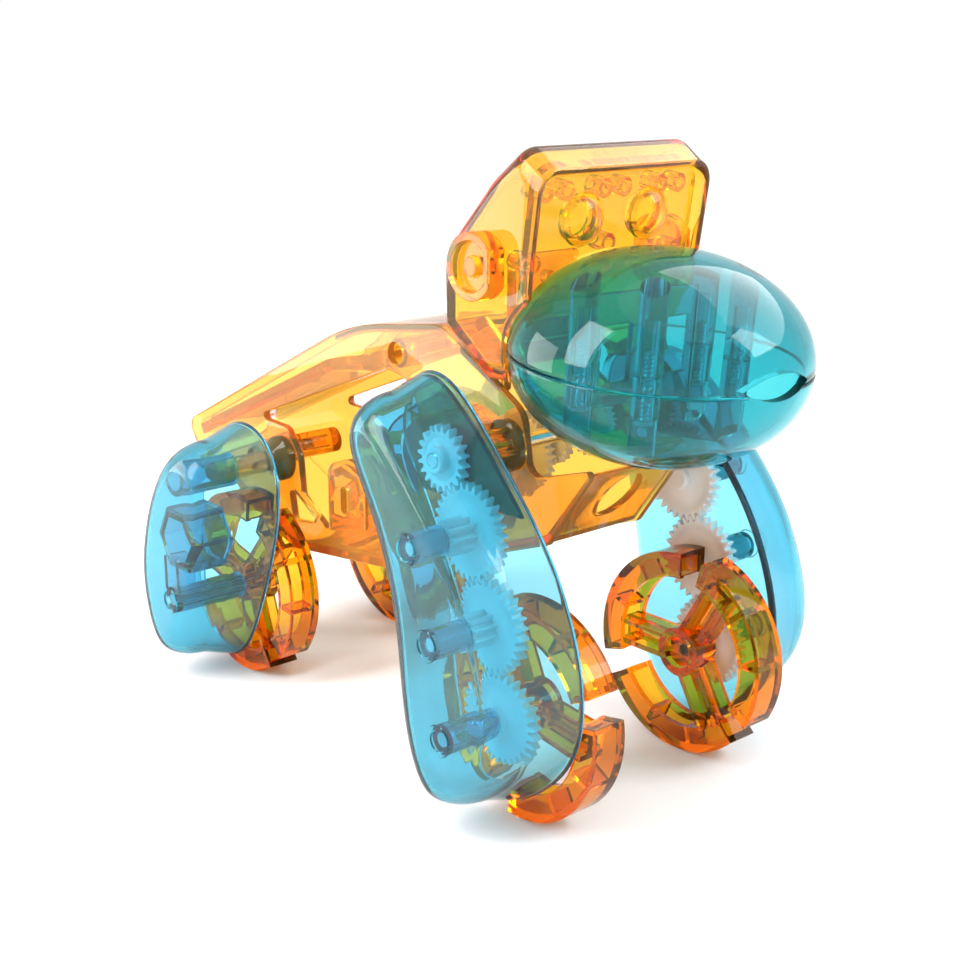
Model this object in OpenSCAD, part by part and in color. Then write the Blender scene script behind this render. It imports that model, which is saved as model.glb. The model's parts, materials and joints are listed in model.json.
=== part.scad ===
// Walking gorilla toy in clear amber and teal plastic, driven through white gears in its front legs.
// Millimetres. The front foot axle is the reference for every (y, z) place below;
// place() then moves the origin to the floor under the middle of the toy.

/* [Body] */
// Half of the outside width of the body
body_half = 13.5; // [13:0.25:15]
// Wall of the amber shells
shell_wall = 1.8; // [1.4:0.1:2.2]
// Distance from the front foot axle to the middle of the toy
middle_y = 51.34; // [50:0.01:54]

/* [Legs] */
// Inner rim of the leg shells, from the middle plane
leg_rim = 27.3; // [27.3:0.1:28]
// Depth of the leg shells
leg_depth = 18.6; // [18:0.1:20]
// Wall of the leg shells
leg_wall = 1.8; // [1.4:0.1:2.2]
// Lean of the leg walls from rim to crown
leg_draft = 2.6; // [1:0.1:3]
// Round of the leg's outer edge
leg_edge = 6; // [4:0.5:6.5]

/* [Feet] */
// Radius over the foot pads
foot_r = 21.8; // [21:0.1:22]
// Width of the foot pads
pad_w = 7.6; // [6:0.1:7.6]
// Radial depth of the foot pads
pad_depth = 5.4; // [4:0.1:6]
// Arc of one pad
pad_arc = 105; // [90:1:108]

/* [Gears] */
// Module of the leg gears
leg_module = 0.6;
// Module of the gears in the body
body_module = 0.5;
// Teeth of the top gear in the leg
top_teeth = 20;
// Teeth of the three larger leg gears
leg_teeth = 30;
// Radius of the axles
axle_r = 1.5; // [1.4:0.05:1.5]
// Radial play of a turning axle or gear
play = 0.06; // [0.03:0.01:0.1]

/* [Head] */
// Half of the head's width
head_half = 23; // [22.5:0.1:23.5]
// Radius of the egg-shaped muzzle
muzzle_r = 28.7; // [28:0.1:29]
// Half of the muzzle's height
muzzle_h = 20.2; // [19.5:0.1:20.5]
// Radius of the eye domes
eye_r = 5.2; // [4.5:0.1:5.5]

/* [Hidden] */
$fn = 64;

amber = [0.98, 0.66, 0.08, 0.75];
teal = [0.16, 0.68, 0.76, 0.75];
gear_white = [0.93, 0.94, 0.94];
steel = [0.7, 0.71, 0.73];

// Axes that run across the toy, as (y, z)
foot_axis = [0, foot_r];
lower_axis = foot_axis + leg_teeth * leg_module * [cos(78.5), sin(78.5)];
upper_axis = lower_axis + leg_teeth * leg_module * [cos(71.5), sin(71.5)];
drive_axis = upper_axis + (top_teeth + leg_teeth) / 2 * leg_module * [cos(58.5), sin(58.5)];
rear_axis = [98, foot_r];
hip_axis = [97.5, 50.5];

// Gear train in the body: 10 teeth drive 36, 10 drive 22, 10 drive 22 on the drive axle
pinion_teeth = 10;
first_teeth = 36;
second_teeth = 22;
axle_teeth = 22;
second_axis = drive_axis + (axle_teeth + pinion_teeth) / 2 * body_module * [cos(-20), sin(-20)];
first_axis = second_axis + (second_teeth + pinion_teeth) / 2 * body_module * [cos(-35), sin(-35)];
motor_axis = first_axis + (first_teeth + pinion_teeth) / 2 * body_module * [cos(-15), sin(-15)];
motor_r = 12.2;
motor_len = 12.3;
motor_face = 0.8;

// Leg gears, from the middle plane outwards
gear_face = 29.1;
gear_thick = 2;
gear_out = gear_face + gear_thick;
idler_out = gear_out + 6;
short_hub = 1.7;
pin_head = 1.3;

inner_half = body_half - shell_wall;
rail_flange = 2.2;
crown_x = leg_rim + leg_depth;
pad_in = 19.3;
muzzle_mid = [0, -9.8, 89.4];
muzzle_tilt = 4.5;
face_lean = 8.5;
face_pivot = [1, 114];

// Outlines of the leg rims, as points of a smooth closed curve
front_leg_line = [
  [4.5, 2.3], [13.5, 9.5], [18, 24], [20.2, 42], [26, 58], [33, 70], [31.5, 80.5], [22.5, 85.8],
  [12, 80], [0.5, 68.5], [-10.8, 55], [-17.5, 40], [-19.2, 26.5], [-15, 15], [-6, 7]
];
rear_leg_line = [
  [104.5, 1.9], [113.5, 8], [117.5, 20], [117.3, 31], [113.5, 43], [106.5, 54.5], [97, 61.5],
  [86.5, 61.5], [79.8, 55], [78.6, 45.5], [82, 32], [87.3, 19.5], [94.5, 7]
];

// Corners of the body side, each with the radius that rounds it
side_line = [
  [142.5, 51.6, 3], [70, 86.4, 70], [38.5, 90.6, 9], [13.2, 76.5, 6], [11.2, 63.6, 3], [-6.8, 68.9, 1],
  [6, 51, 1.5], [52, 35.4, 12], [100, 35.4, 20], [138, 45.4, 5]
];
window_line = [
  [102.5, 60.4, 1.2], [60, 77.8, 2], [47, 77, 6], [46, 52.5, 4], [61.5, 49, 2], [63.2, 53.4, 4],
  [71.3, 55.4, 6], [79.6, 52.5, 4], [81, 47.4, 1.5], [91.5, 47.4, 2], [94.5, 55, 8]
];
gusset_line = [[89.6, 45.4, 1.2], [80.4, 45.4, 1], [79.4, 37.6, 1.2]];

// Side view and front view of the head
head_side_line = [
  [25.8, 93.2, 2.5], [25.8, 108, 10], [12.6, 122.6, 14], [4.8, 128.3, 2.6], [-0.9, 124.2, 2.2],
  [5.2, 84.2, 2.4], [15, 84.2, 2.6]
];
head_front_line = [[22.2, 82], [23, 108], [23, 128.4], [-23, 128.4], [-23, 108], [-22.2, 82]];
head_corner_r = 5;
head_wall = 1.8;

// Places of the screws that hold the body halves, as (y, z)
body_posts = [[53.4, 82.2], [112, 48], [47, 44]];
// Places of the posts in the muzzle, as (x, y)
muzzle_posts = [[-14, 0], [14, 0], [-10, -25], [10, -25]];

// Direction of the first spoke of each foot, from the front upwards
front_right_spoke = -5;
front_left_spoke = 60;
rear_right_spoke = 48;
rear_left_spoke = 18;

function flat(p) = [p[0], p[1]];
function unit(v) = v / norm(v);

// Points of the arc that rounds corner b of a path a, b, c; b[2] is its radius
function round_corner(a, b, c, steps) =
  let (to_a = unit(flat(a) - flat(b)), to_c = unit(flat(c) - flat(b)))
  let (half = acos(to_a * to_c) / 2, mid = flat(b) + unit(to_a + to_c) * b[2] / sin(half))
  let (first = flat(b) + to_a * b[2] / tan(half) - mid, last = flat(b) + to_c * b[2] / tan(half) - mid)
  let (start = atan2(first[1], first[0]), turn = atan2(last[1], last[0]) - start)
  let (sweep = turn > 180 ? turn - 360 : turn < -180 ? turn + 360 : turn)
  [for (i = [0 : steps]) mid + b[2] * [cos(start + sweep * i / steps), sin(start + sweep * i / steps)]];

function rounded(p, steps = 5) =
  let (n = len(p))
  [for (i = [0 : n - 1]) each round_corner(p[(i + n - 1) % n], p[i], p[(i + 1) % n], steps)];

// Smooth closed curve through the points p, with some steps from each point to the next
function smooth(p, steps = 4) =
  let (n = len(p))
  [for (i = [0 : n - 1], s = [0 : steps - 1])
    let (t = s / steps, a = p[(i + n - 1) % n], b = p[i], c = p[(i + 1) % n], d = p[(i + 2) % n])
    0.5 * (2 * b + t * (c - a) + t * t * (2 * a - 5 * b + 4 * c - d) + t * t * t * (3 * b - a - 3 * c + d))];

// A counter-clockwise closed curve moved inwards by d
function inward(p, d) =
  let (n = len(p))
  [for (i = [0 : n - 1])
    let (t = unit(p[(i + 1) % n] - p[(i + n - 1) % n]))
    p[i] + d * [-t[1], t[0]]];

// Gear outline: flanks are involutes of the pressure angle, each drawn through three radii
function involute(a) = tan(a) * 180 / PI - a;
function gear_line(teeth, m, addendum = 1, angle = 20, backlash = 0.14) =
  let (pitch = teeth * m / 2, base = pitch * cos(angle))
  let (radii = [pitch - 1.25 * m, pitch - 0.5 * m, pitch, pitch + addendum * m])
  let (half_pitch = (PI * m / 2 - backlash) / 2 / pitch * 180 / PI + involute(angle))
  let (halves = [for (r = radii) half_pitch - (r > base ? involute(acos(base / r)) : 0)])
  [for (i = [0 : teeth - 1])
    let (a = 360 * i / teeth)
    each concat(
      [for (k = [0 : 3]) radii[k] * [cos(a - halves[k]), sin(a - halves[k])]],
      [for (k = [3 : -1 : 0]) radii[k] * [cos(a + halves[k]), sin(a + halves[k])]])];

function heading(a, b) = atan2(b[1] - a[1], b[0] - a[0]);

// Turn that brings gear b into mesh with gear a, whose own turn is given
function mesh_turn(a, turn_a, teeth_a, b, teeth_b) =
  heading(b, a) + 180 / teeth_b - (turn_a - heading(a, b)) * teeth_a / teeth_b;

top_turn = heading(drive_axis, upper_axis);
upper_turn = mesh_turn(drive_axis, top_turn, top_teeth, upper_axis, leg_teeth);
lower_turn = mesh_turn(upper_axis, upper_turn, leg_teeth, lower_axis, leg_teeth);
foot_turn = mesh_turn(lower_axis, lower_turn, leg_teeth, foot_axis, leg_teeth);
axle_turn = heading(drive_axis, second_axis);
second_turn = mesh_turn(drive_axis, axle_turn, axle_teeth, second_axis, pinion_teeth);
first_turn = mesh_turn(second_axis, second_turn, second_teeth, first_axis, pinion_teeth);
motor_turn = mesh_turn(first_axis, first_turn, first_teeth, motor_axis, pinion_teeth);

module place() {
  translate([0, -middle_y, 0]) children();
}

// The right side of the toy is the mirror image of its left side
module on_right() {
  mirror([1, 0, 0]) children();
}

// Stands a shape drawn in (y, z) on the plane x, growing outwards
module across(x = 0, p = [0, 0]) {
  translate([x, p[0], p[1]]) rotate([90, 0, 90]) children();
}

module tube(r, bore, length) {
  difference() {
    cylinder(r = r, h = length);
    translate([0, 0, -1]) cylinder(r = bore, h = length + 2);
  }
}

// Closed surface through rings of points, with flat ends
module skin(rings) {
  n = len(rings[0]);
  last = len(rings) - 1;
  points = [for (r = rings) each r];
  bands = [for (k = [0 : last - 1], i = [0 : n - 1])
    let (j = (i + 1) % n, a = k * n, b = a + n)
    each [[a + i, b + j, b + i], [a + i, a + j, b + j]]];
  ends = [[for (i = [n - 1 : -1 : 0]) i], [for (i = [0 : n - 1]) last * n + i]];
  polyhedron(points, concat(ends, bands), convexity = 6);
}

// Points of a leg curve on the plane x, moved inwards by d
function leg_ring(line, d, x) = [for (p = inward(line, d)) [x, p[0], p[1]]];

// Deep dish with leaning walls and a round outer edge, open towards the body
module leg_dish(points) {
  line = smooth(points);
  turns = [0 : 18 : 90];
  edge_x = crown_x - leg_edge;
  bend = leg_edge - leg_wall;
  outside = [for (a = turns)
    leg_ring(line, leg_draft + leg_edge * (1 - cos(a)), edge_x + leg_edge * sin(a))];
  inside = [for (a = turns)
    leg_ring(line, leg_draft + leg_wall + bend * (1 - cos(a)), edge_x + bend * sin(a))];
  skin(concat(
    [for (i = [len(outside) - 1 : -1 : 0]) outside[i]],
    [leg_ring(line, 0, leg_rim), leg_ring(line, leg_wall, leg_rim)],
    inside));
}

module gear_2d(teeth, m, addendum = 1, angle = 20) {
  polygon(gear_line(teeth, m, addendum, angle));
}

// Wheel with a toothed rim, and a hub or a pinion on its outer side
module leg_gear(teeth, turn, pinion, bore) {
  difference() {
    union() {
      rotate(turn) linear_extrude(gear_thick) gear_2d(teeth, leg_module);
      if (pinion)
        translate([0, 0, 1]) linear_extrude(idler_out - gear_face - 1) gear_2d(pinion_teeth, leg_module);
      else
        translate([0, 0, 1]) cylinder(r = 2.6, h = gear_thick + short_hub - 1);
    }
    translate([0, 0, -1]) cylinder(r = bore, h = 20);
  }
}

// Amber foot: hub, three spokes of H section and three hollow curved pads
module foot(spoke, bore) {
  pad_r = foot_r - pad_depth;
  flange = 1.3;
  tread = 1.5;
  rib = 1.2;
  pad_from = -15;
  end_turn = 2.1;
  rib_gap = (pad_arc - 2 * end_turn) / 5;
  difference() {
    union() {
      rotate_extrude() polygon([[0, 0], [5.3, 0], [5.3, 1.4], [4.2, pad_w], [0, pad_w]]);
      for (s = [0 : 120 : 240]) rotate(180 - spoke - s) {
        rotate(pad_from) rotate_extrude(angle = pad_arc) polygon([
          [pad_r, 0], [foot_r, 0], [foot_r, pad_w], [pad_r, pad_w], [pad_r, pad_w - flange],
          [foot_r - tread, pad_w - flange], [foot_r - tread, flange], [pad_r, flange]]);
        for (i = [0 : 5]) rotate(pad_from + end_turn + i * rib_gap)
          translate([pad_r + 0.3, -rib / 2, flange / 2]) cube([pad_depth - 1, rib, pad_w - flange]);
        for (t = [-2.9, 1.7]) translate([3.4, t, 0.7]) cube([pad_r - 2.6, rib, pad_w - 1.4]);
        translate([3.4, -2.3, pad_w / 2 - 0.7]) cube([pad_r - 2.6, 4.6, 1.4]);
      }
    }
    // Dished end of the hub
    translate([0, 0, -1]) cylinder(r = 3.5, h = 2.4);
    translate([0, 0, -1]) cylinder(r = bore, h = pad_w + 2);
  }
}

// One half of the body: flat side wall with its window, lug and screw posts
module body_side(is_right) {
  difference() {
    union() {
      across(inner_half) linear_extrude(shell_wall) difference() {
        polygon(rounded(side_line));
        polygon(rounded(window_line));
        polygon(rounded(gusset_line, 3));
      }
      // Flange that doubles the rail along the back
      across(inner_half - rail_flange) linear_extrude(rail_flange + 0.2) intersection() {
        polygon(rounded(side_line));
        difference() {
          polygon([[40, 72], [150, 46], [150, 100], [40, 100]]);
          polygon(inward(rounded(side_line), 2));
        }
      }
      across(0.05) for (p = body_posts) translate(p) cylinder(r = 3.2, h = inner_half);
      // Raised pad round the slot of the lug
      across(body_half - 0.2) linear_extrude(1) difference() {
        polygon(rounded([[78.6, 40, 1], [78.6, 51, 5], [71.3, 54.6, 5], [64.2, 51.6, 4], [64.2, 40, 1]], 4));
        polygon(rounded([[73.6, 42.4, 1], [73.6, 48.6, 1.1], [71.3, 48.6, 1.1], [71.3, 42.4, 1]], 3));
      }
    }
    across(0) for (p = body_posts) translate(p) translate([0, 0, -1]) cylinder(r = 1.25, h = 10);
    if (is_right) {
      across(8) for (p = body_posts) translate(p) cylinder(r = 2.5, h = 10);
      across(-1) for (p = body_posts) translate(p) cylinder(r = 1.35, h = 12);
    }
    across(0, drive_axis) cylinder(r = axle_r + play, h = 20);
  }
}

module body_side_right() {
  color(amber) place() on_right() body_side(true);
}

module body_side_left() {
  color(amber) place() body_side(false);
}

// Curved strip that closes the back between the rails, ahead of the cell
module back_cover() {
  half = inner_half - rail_flange;
  thick = 1.6;
  top = [[78.4, 82.6, 0.4], [69, 86.3, 60], [39.5, 90.2, 0.5]];
  under = [for (i = [2 : -1 : 0]) top[i] - [0, thick, 0]];
  color(amber) place() across(-half) linear_extrude(2 * half) polygon(rounded(concat(top, under)));
}

cell_lean = -23.9;
cell_mid = [107.5, 63.2];
cell_size = [20.6, 57];

// Lays a shape on the sloping back: its x runs across the toy, its y along the slope
module on_back() {
  translate([0, cell_mid[0], cell_mid[1]]) rotate([cell_lean, 0, 0]) children();
}

module solar_tray() {
  deck = 1.6;
  color(amber) place() on_back() difference() {
    translate([-inner_half, -32, -deck]) cube([2 * inner_half, 64, deck + 1.2]);
    translate([-cell_size[0] / 2 - 0.2, -cell_size[1] / 2 - 0.2, 0])
      cube([cell_size[0] + 0.4, cell_size[1] + 0.4, 4]);
    for (y = [-20, 20]) translate([0, y, -3]) cylinder(r = 2, h = 6);
  }
}

module solar_cell() {
  color([0.07, 0.1, 0.2]) place() on_back()
    translate([-cell_size[0] / 2, -cell_size[1] / 2, 0]) cube([cell_size[0], cell_size[1], 1.8]);
}

module belly_plate() {
  color(amber) place() difference() {
    across(-inner_half) linear_extrude(2 * inner_half) intersection() {
      polygon(rounded(side_line));
      difference() {
        translate([54, 30]) square([84, 18]);
        polygon(inward(rounded(side_line), 1.8));
      }
    }
    // Row of slots across the belly
    for (y = [62, 70, 78]) translate([-6, y, 20]) cube([12, 3, 30]);
  }
}

// Prow under the muzzle and the sloping front of the belly
module chest_plate() {
  color(amber) place() difference() {
    across(-inner_half) linear_extrude(2 * inner_half)
      polygon([[-5.6, 67.4], [6.3, 51.3], [52, 35.7], [53.9, 35.7], [53.9, 37.5], [52.4, 37.5], [7.4, 52.8],
        [-4, 67.4]]);
    // Arched opening in the ramp
    translate([0, -12, 60.5]) rotate([-90, 0, 0]) cylinder(r = 5, h = 18);
  }
}

// Bracket from the chest up into the back of the head
module neck_bracket() {
  line = [[34.6, 85.6, 1], [23.2, 92.8, 2], [23.2, 106, 1], [20.6, 106, 1], [20.2, 89, 2], [20.6, 78.4, 1]];
  color(amber) place() difference() {
    across(-inner_half) linear_extrude(2 * inner_half) polygon(rounded(line, 4));
    // Cut back beside the tongue that enters the head
    for (x = [-20, 8]) translate([x, 0, 91]) cube([12, 60, 40]);
    // Hollow between the two cheeks
    translate([-inner_half + 2, 0, 60]) cube([2 * inner_half - 4, 60, 24]);
    translate([0, 10, 101]) rotate([-90, 0, 0]) cylinder(r = 1.3, h = 30);
  }
}

// Egg of the muzzle, grown by some clearance
module muzzle_egg(grow) {
  steps = 20;
  r = muzzle_r + grow;
  h = muzzle_h + grow;
  translate(muzzle_mid) rotate([muzzle_tilt, 0, 0]) rotate_extrude()
    polygon([for (i = [0 : steps]) let (a = -90 + 180 * i / steps) [r * cos(a), h * sin(a)]]);
}

// Front view of the head, moved inwards by d
module head_front_2d(d) {
  p = head_front_line;
  radii = [2, 40, head_corner_r, head_corner_r, 40, 2];
  line = rounded([for (i = [0 : 5]) [p[i][0], p[i][1], radii[i]]], 6);
  polygon(inward(line, d));
}

// Long bar with rounded upper edges, whose top passes through p in the side view at some slope
module head_bar(p, slope, edge_r, d) {
  half = head_half - d;
  translate([0, p[0], p[1]]) rotate([slope, 0, 0]) translate([0, 100, 0]) rotate([90, 0, 0])
    linear_extrude(200) polygon(rounded([[half, -90, 1], [half, -d, edge_r - d], [-half, -d, edge_r - d],
      [-half, -90, 1]], 6));
}

module head_block(d) {
  intersection() {
    across(-40) linear_extrude(80) polygon(inward(rounded(head_side_line, 6), d));
    translate([0, 60, 0]) rotate([90, 0, 0]) linear_extrude(120) head_front_2d(d);
    head_bar([-0.9, 124.2], 35.7, head_corner_r, d);
    head_bar([13, 120.4], -45, 3.6, d);
  }
}

// Slab between two depths behind the leaning front edge of the head
module face_slab(from, to) {
  translate([-40, face_pivot[0], face_pivot[1]]) rotate([face_lean, 0, 0])
    translate([0, from, -40]) cube([80, to - from, 80]);
}

module head_cavity(d) {
  head_block(d);
  intersection() {
    translate([0, 60, 0]) rotate([90, 0, 0]) linear_extrude(120) head_front_2d(d);
    face_slab(-8, 6);
    head_bar([0, 124.1], face_lean, head_corner_r, d);
  }
}

module head_shell() {
  color(amber) place() difference() {
    head_block(0);
    head_cavity(head_wall);
    muzzle_egg(0.5);
    // Way in for the neck
    translate([-inner_half - 0.4, 16, 80]) cube([2 * inner_half + 0.8, 12, 13.4]);
    for (x = [-1, 1]) translate([x * (head_half - 4), 13.2, 106]) rotate([0, 90, 0])
      translate([0, 0, -8]) cylinder(r = 1.5, h = 16);
  }
}

module face_plate() {
  color(amber) place() difference() {
    union() {
      intersection() {
        head_cavity(head_wall + 0.1);
        face_slab(1.4, 3);
      }
      // Pegs behind the brow
      for (x = [-15, 0, 15]) translate([x, 1.8, 119.4]) rotate([-90 + face_lean, 0, 0]) {
        translate([-2.6, 0, 0]) tube(1.9, 0.9, 5.4);
        translate([2.6, 0, 0]) tube(1.9, 0.9, 4.6);
      }
      // Posts behind the nose and the cheeks
      for (p = [[0, 109], [-19, 106.4], [19, 106.4]])
        translate([p[0], face_pivot[0] + (face_pivot[1] - p[1]) * tan(face_lean) + 2, p[1]])
          rotate([-90 + face_lean, 0, 0]) tube(1.9, 1.1, 5);
    }
    muzzle_egg(0.5);
    for (x = [-8.7, 8.7]) translate([x, face_pivot[0], face_pivot[1]]) rotate([-90 + face_lean, 0, 0])
      translate([0, 0, -5]) cylinder(r = eye_r - 0.6, h = 20);
  }
}

// Dome with a skirt that plugs its hole in the face
module eye(x) {
  dome = 3;
  ball = (eye_r * eye_r + dome * dome) / 2 / dome;
  color(amber) place() translate([x, face_pivot[0], face_pivot[1]]) rotate([-90 + face_lean, 0, 0])
    translate([0, 0, 1.4]) union() {
      difference() {
        translate([0, 0, ball - dome]) sphere(r = ball);
        translate([0, 0, ball - dome]) sphere(r = ball - 1.3);
        translate([-20, -20, 0]) cube([40, 40, 40]);
      }
      difference() {
        translate([0, 0, -1]) cylinder(r = eye_r - 0.65, h = 3.4);
        translate([0, 0, -2]) cylinder(r = eye_r - 1.8, h = 6);
      }
    }
}

module eye_right() {
  eye(-8.7);
}

module eye_left() {
  eye(8.7);
}

// Half disc with a raised rim and a flat front, on a peg through the head
module ear() {
  ear_r = 6.4;
  color(amber) translate([0, 13.2, 106]) across(head_half) {
    difference() {
      linear_extrude(4.2) intersection() {
        circle(r = ear_r);
        translate([-5.4, -10]) square([20, 20]);
      }
      translate([0, 0, 2.6]) linear_extrude(4) intersection() {
        circle(r = ear_r - 1.7);
        translate([-3.9, -10]) square([20, 20]);
      }
    }
    cylinder(r = 1.9, h = 4);
    translate([0, 0, -4]) cylinder(r = 1.45, h = 5);
  }
}

module ear_right() {
  place() on_right() ear();
}

module ear_left() {
  place() ear();
}

// Cuts the muzzle to its half above or below the seam, and to its flat back
module muzzle_half(upper) {
  back_y = 12;
  wall = 1.8;
  seam_gap = 0.05;
  intersection() {
    difference() {
      muzzle_egg(0);
      difference() {
        muzzle_egg(-wall);
        translate([-40, back_y - wall, 60]) cube([80, 20, 60]);
      }
      // Leaf-shaped mouth at the tip
      translate(muzzle_mid) rotate([muzzle_tilt, 0, 0]) translate([0, -20, 0.5]) rotate([90, 0, 0])
        linear_extrude(20) intersection() {
          translate([0, -14.6]) circle(r = 17.4);
          translate([0, 15.4]) circle(r = 17.4);
        }
    }
    translate([-40, -60, 0]) cube([80, 60 + back_y, 200]);
    translate(muzzle_mid) rotate([muzzle_tilt, 0, 0])
      translate([-50, -50, upper ? seam_gap : -50]) cube([100, 100, 50 - (upper ? 0 : seam_gap)]);
  }
}

// Posts of the muzzle, cut to the egg's inside
module muzzle_post_set(upper, bore) {
  intersection() {
    muzzle_egg(-0.6);
    translate(muzzle_mid) rotate([muzzle_tilt, 0, 0]) for (p = muzzle_posts)
      translate([p[0], p[1] - muzzle_mid[1], upper ? 0.05 : -40]) tube(2.6, bore, 40 - 0.05);
  }
}

module muzzle_upper() {
  color(teal) place() union() {
    muzzle_half(true);
    muzzle_post_set(true, 1.1);
  }
}

module muzzle_lower() {
  color(teal) place() difference() {
    union() {
      muzzle_half(false);
      muzzle_post_set(false, 1.3);
      // Cross rib between the rear posts
      intersection() {
        muzzle_egg(-0.6);
        translate([-11.8, -0.8, 70]) cube([23.6, 1.6, 16]);
      }
    }
    translate(muzzle_mid) rotate([muzzle_tilt, 0, 0]) for (p = muzzle_posts)
      translate([p[0], p[1] - muzzle_mid[1], -40]) cylinder(r = 2.1, h = 32);
  }
}

// Screw with a domed head, pointing up
module screw(head_r, shank_r, length) {
  cylinder(r = shank_r, h = length);
  intersection() {
    translate([0, 0, -1.4]) cylinder(r = head_r, h = 1.4);
    translate([0, 0, 2.2]) sphere(r = 3.6);
  }
}

module muzzle_screws() {
  color(steel) place() translate(muzzle_mid) rotate([muzzle_tilt, 0, 0]) for (p = muzzle_posts)
    translate([p[0], p[1] - muzzle_mid[1], -8]) screw(1.9, 1.05, 13);
}

module body_screws() {
  color(steel) place() on_right() for (p = body_posts)
    translate([8, p[0], p[1]]) rotate([0, -90, 0]) screw(2.3, 1.2, 13);
}

module motor_can() {
  color(steel) place() across(motor_face - motor_len, motor_axis) {
    difference() {
      cylinder(r = motor_r, h = motor_len);
      translate([0, 0, -1]) cylinder(r = motor_r - 1, h = 3.2);
      translate([0, 0, motor_len - 8]) cylinder(r = 1.1, h = 20);
    }
  }
}

module motor_end_cap() {
  color([0.1, 0.1, 0.1]) place() across(motor_face - motor_len, motor_axis) {
    cylinder(r = motor_r - 1.05, h = 2.1);
    for (a = [60, 240]) rotate(a) translate([7, 0, -0.15]) cylinder(r = 1, h = 0.3);
  }
}

// Saddle on the right wall that clips round the motor
module motor_cradle() {
  color(amber) place() difference() {
    across(-inner_half, motor_axis) linear_extrude(9) difference() {
      intersection() {
        circle(r = motor_r + 2);
        rotate(-55) translate([-20, -30]) square([40, 34]);
      }
      circle(r = motor_r + 0.05);
    }
    across(-20, first_axis) cylinder(r = 2.2, h = 30);
    across(-20, body_posts[2]) cylinder(r = 3.4, h = 30);
  }
}

module motor_pinion() {
  color(gear_white) place() across(0, motor_axis) {
    difference() {
      rotate(motor_turn) translate([0, 0, 1.5]) linear_extrude(3.4) gear_2d(pinion_teeth, body_module, 0.8, 25);
      translate([0, 0, 1]) cylinder(r = 1, h = 6);
    }
    translate([0, 0, motor_face - 6]) cylinder(r = 1, h = 11);
  }
}

// Wheel and pinion in one moulding, running on a pin
module body_gear(teeth, turn, wheel_x, pinion_end) {
  difference() {
    rotate(turn) union() {
      translate([0, 0, wheel_x]) linear_extrude(2) gear_2d(teeth, body_module, 0.8, 25);
      translate([0, 0, wheel_x + 1]) linear_extrude(pinion_end - wheel_x - 1)
        gear_2d(pinion_teeth, body_module, 0.8, 25);
    }
    cylinder(r = 1 + play, h = 30);
  }
}

module reduction_gear_first() {
  color(gear_white) place() across(0, first_axis) body_gear(first_teeth, first_turn, 2.2, 7.6);
}

module reduction_gear_second() {
  color(gear_white) place() across(0, second_axis) body_gear(second_teeth, second_turn, 5, 10.8);
}

module reduction_pins() {
  color(steel) place() {
    across(1.6, first_axis) cylinder(r = 1, h = inner_half - 1.6);
    across(4.6, second_axis) cylinder(r = 1, h = inner_half - 4.6);
  }
}

module drive_axle() {
  length = gear_out + short_hub;
  color(steel) place() across(-length, drive_axis) cylinder(r = axle_r, h = 2 * length);
}

module axle_gear() {
  color(gear_white) place() across(7.8, drive_axis) difference() {
    rotate(axle_turn) linear_extrude(2.4) gear_2d(axle_teeth, body_module, 0.8, 25);
    translate([0, 0, -1]) cylinder(r = axle_r, h = 5);
  }
}

module top_gear() {
  color(gear_white) across(gear_face, drive_axis) leg_gear(top_teeth, top_turn, false, axle_r);
}

module top_gear_right() {
  place() on_right() top_gear();
}

module top_gear_left() {
  place() top_gear();
}

module upper_idler() {
  color(gear_white) across(gear_face, upper_axis) leg_gear(leg_teeth, upper_turn, true, axle_r + play);
}

module upper_idler_right() {
  place() on_right() upper_idler();
}

module upper_idler_left() {
  place() upper_idler();
}

module lower_idler() {
  color(gear_white) across(gear_face, lower_axis) leg_gear(leg_teeth, lower_turn, true, axle_r + play);
}

module lower_idler_right() {
  place() on_right() lower_idler();
}

module lower_idler_left() {
  place() lower_idler();
}

module foot_gear() {
  color(gear_white) across(gear_face, foot_axis) leg_gear(leg_teeth, foot_turn, false, axle_r);
}

module foot_gear_right() {
  place() on_right() foot_gear();
}

module foot_gear_left() {
  place() foot_gear();
}

module front_axle() {
  color(steel) across(pad_in - 0.4, foot_axis) cylinder(r = axle_r, h = crown_x - leg_wall - pad_in - 0.4);
}

module front_axle_right() {
  place() on_right() front_axle();
}

module front_axle_left() {
  place() front_axle();
}

module front_foot_right() {
  color(amber) place() on_right() across(pad_in, foot_axis) foot(front_right_spoke, axle_r);
}

module front_foot_left() {
  color(amber) place() across(pad_in, foot_axis) foot(front_left_spoke, axle_r);
}

module rear_foot_right() {
  color(amber) place() on_right() across(pad_in, rear_axis) foot(rear_right_spoke, axle_r + play);
}

module rear_foot_left() {
  color(amber) place() across(pad_in, rear_axis) foot(rear_left_spoke, axle_r + play);
}

module rear_axle() {
  color(steel) across(pad_in - 1.4, rear_axis) cylinder(r = axle_r, h = crown_x - leg_wall - pad_in + 1.4);
}

module rear_axle_right() {
  place() on_right() rear_axle();
}

module rear_axle_left() {
  place() rear_axle();
}

module rear_axle_caps() {
  color(amber) place() for (side = [0, 1]) mirror([side, 0, 0])
    across(pad_in - 1.4, rear_axis) tube(3, axle_r, 1.2);
}

// Boss on the inside of the crown, with a ring on the outside where it stands
module leg_boss(p, from_x) {
  across(from_x, p) cylinder(r = 3, h = crown_x - from_x - 0.9);
  across(crown_x - 0.6, p) tube(3.2, 2, 0.9);
}

// Blind hole in a boss
module leg_bore(p, from_x, bore) {
  across(from_x - 1, p) cylinder(r = bore, h = crown_x - leg_wall - from_x + 1.2);
}

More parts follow.
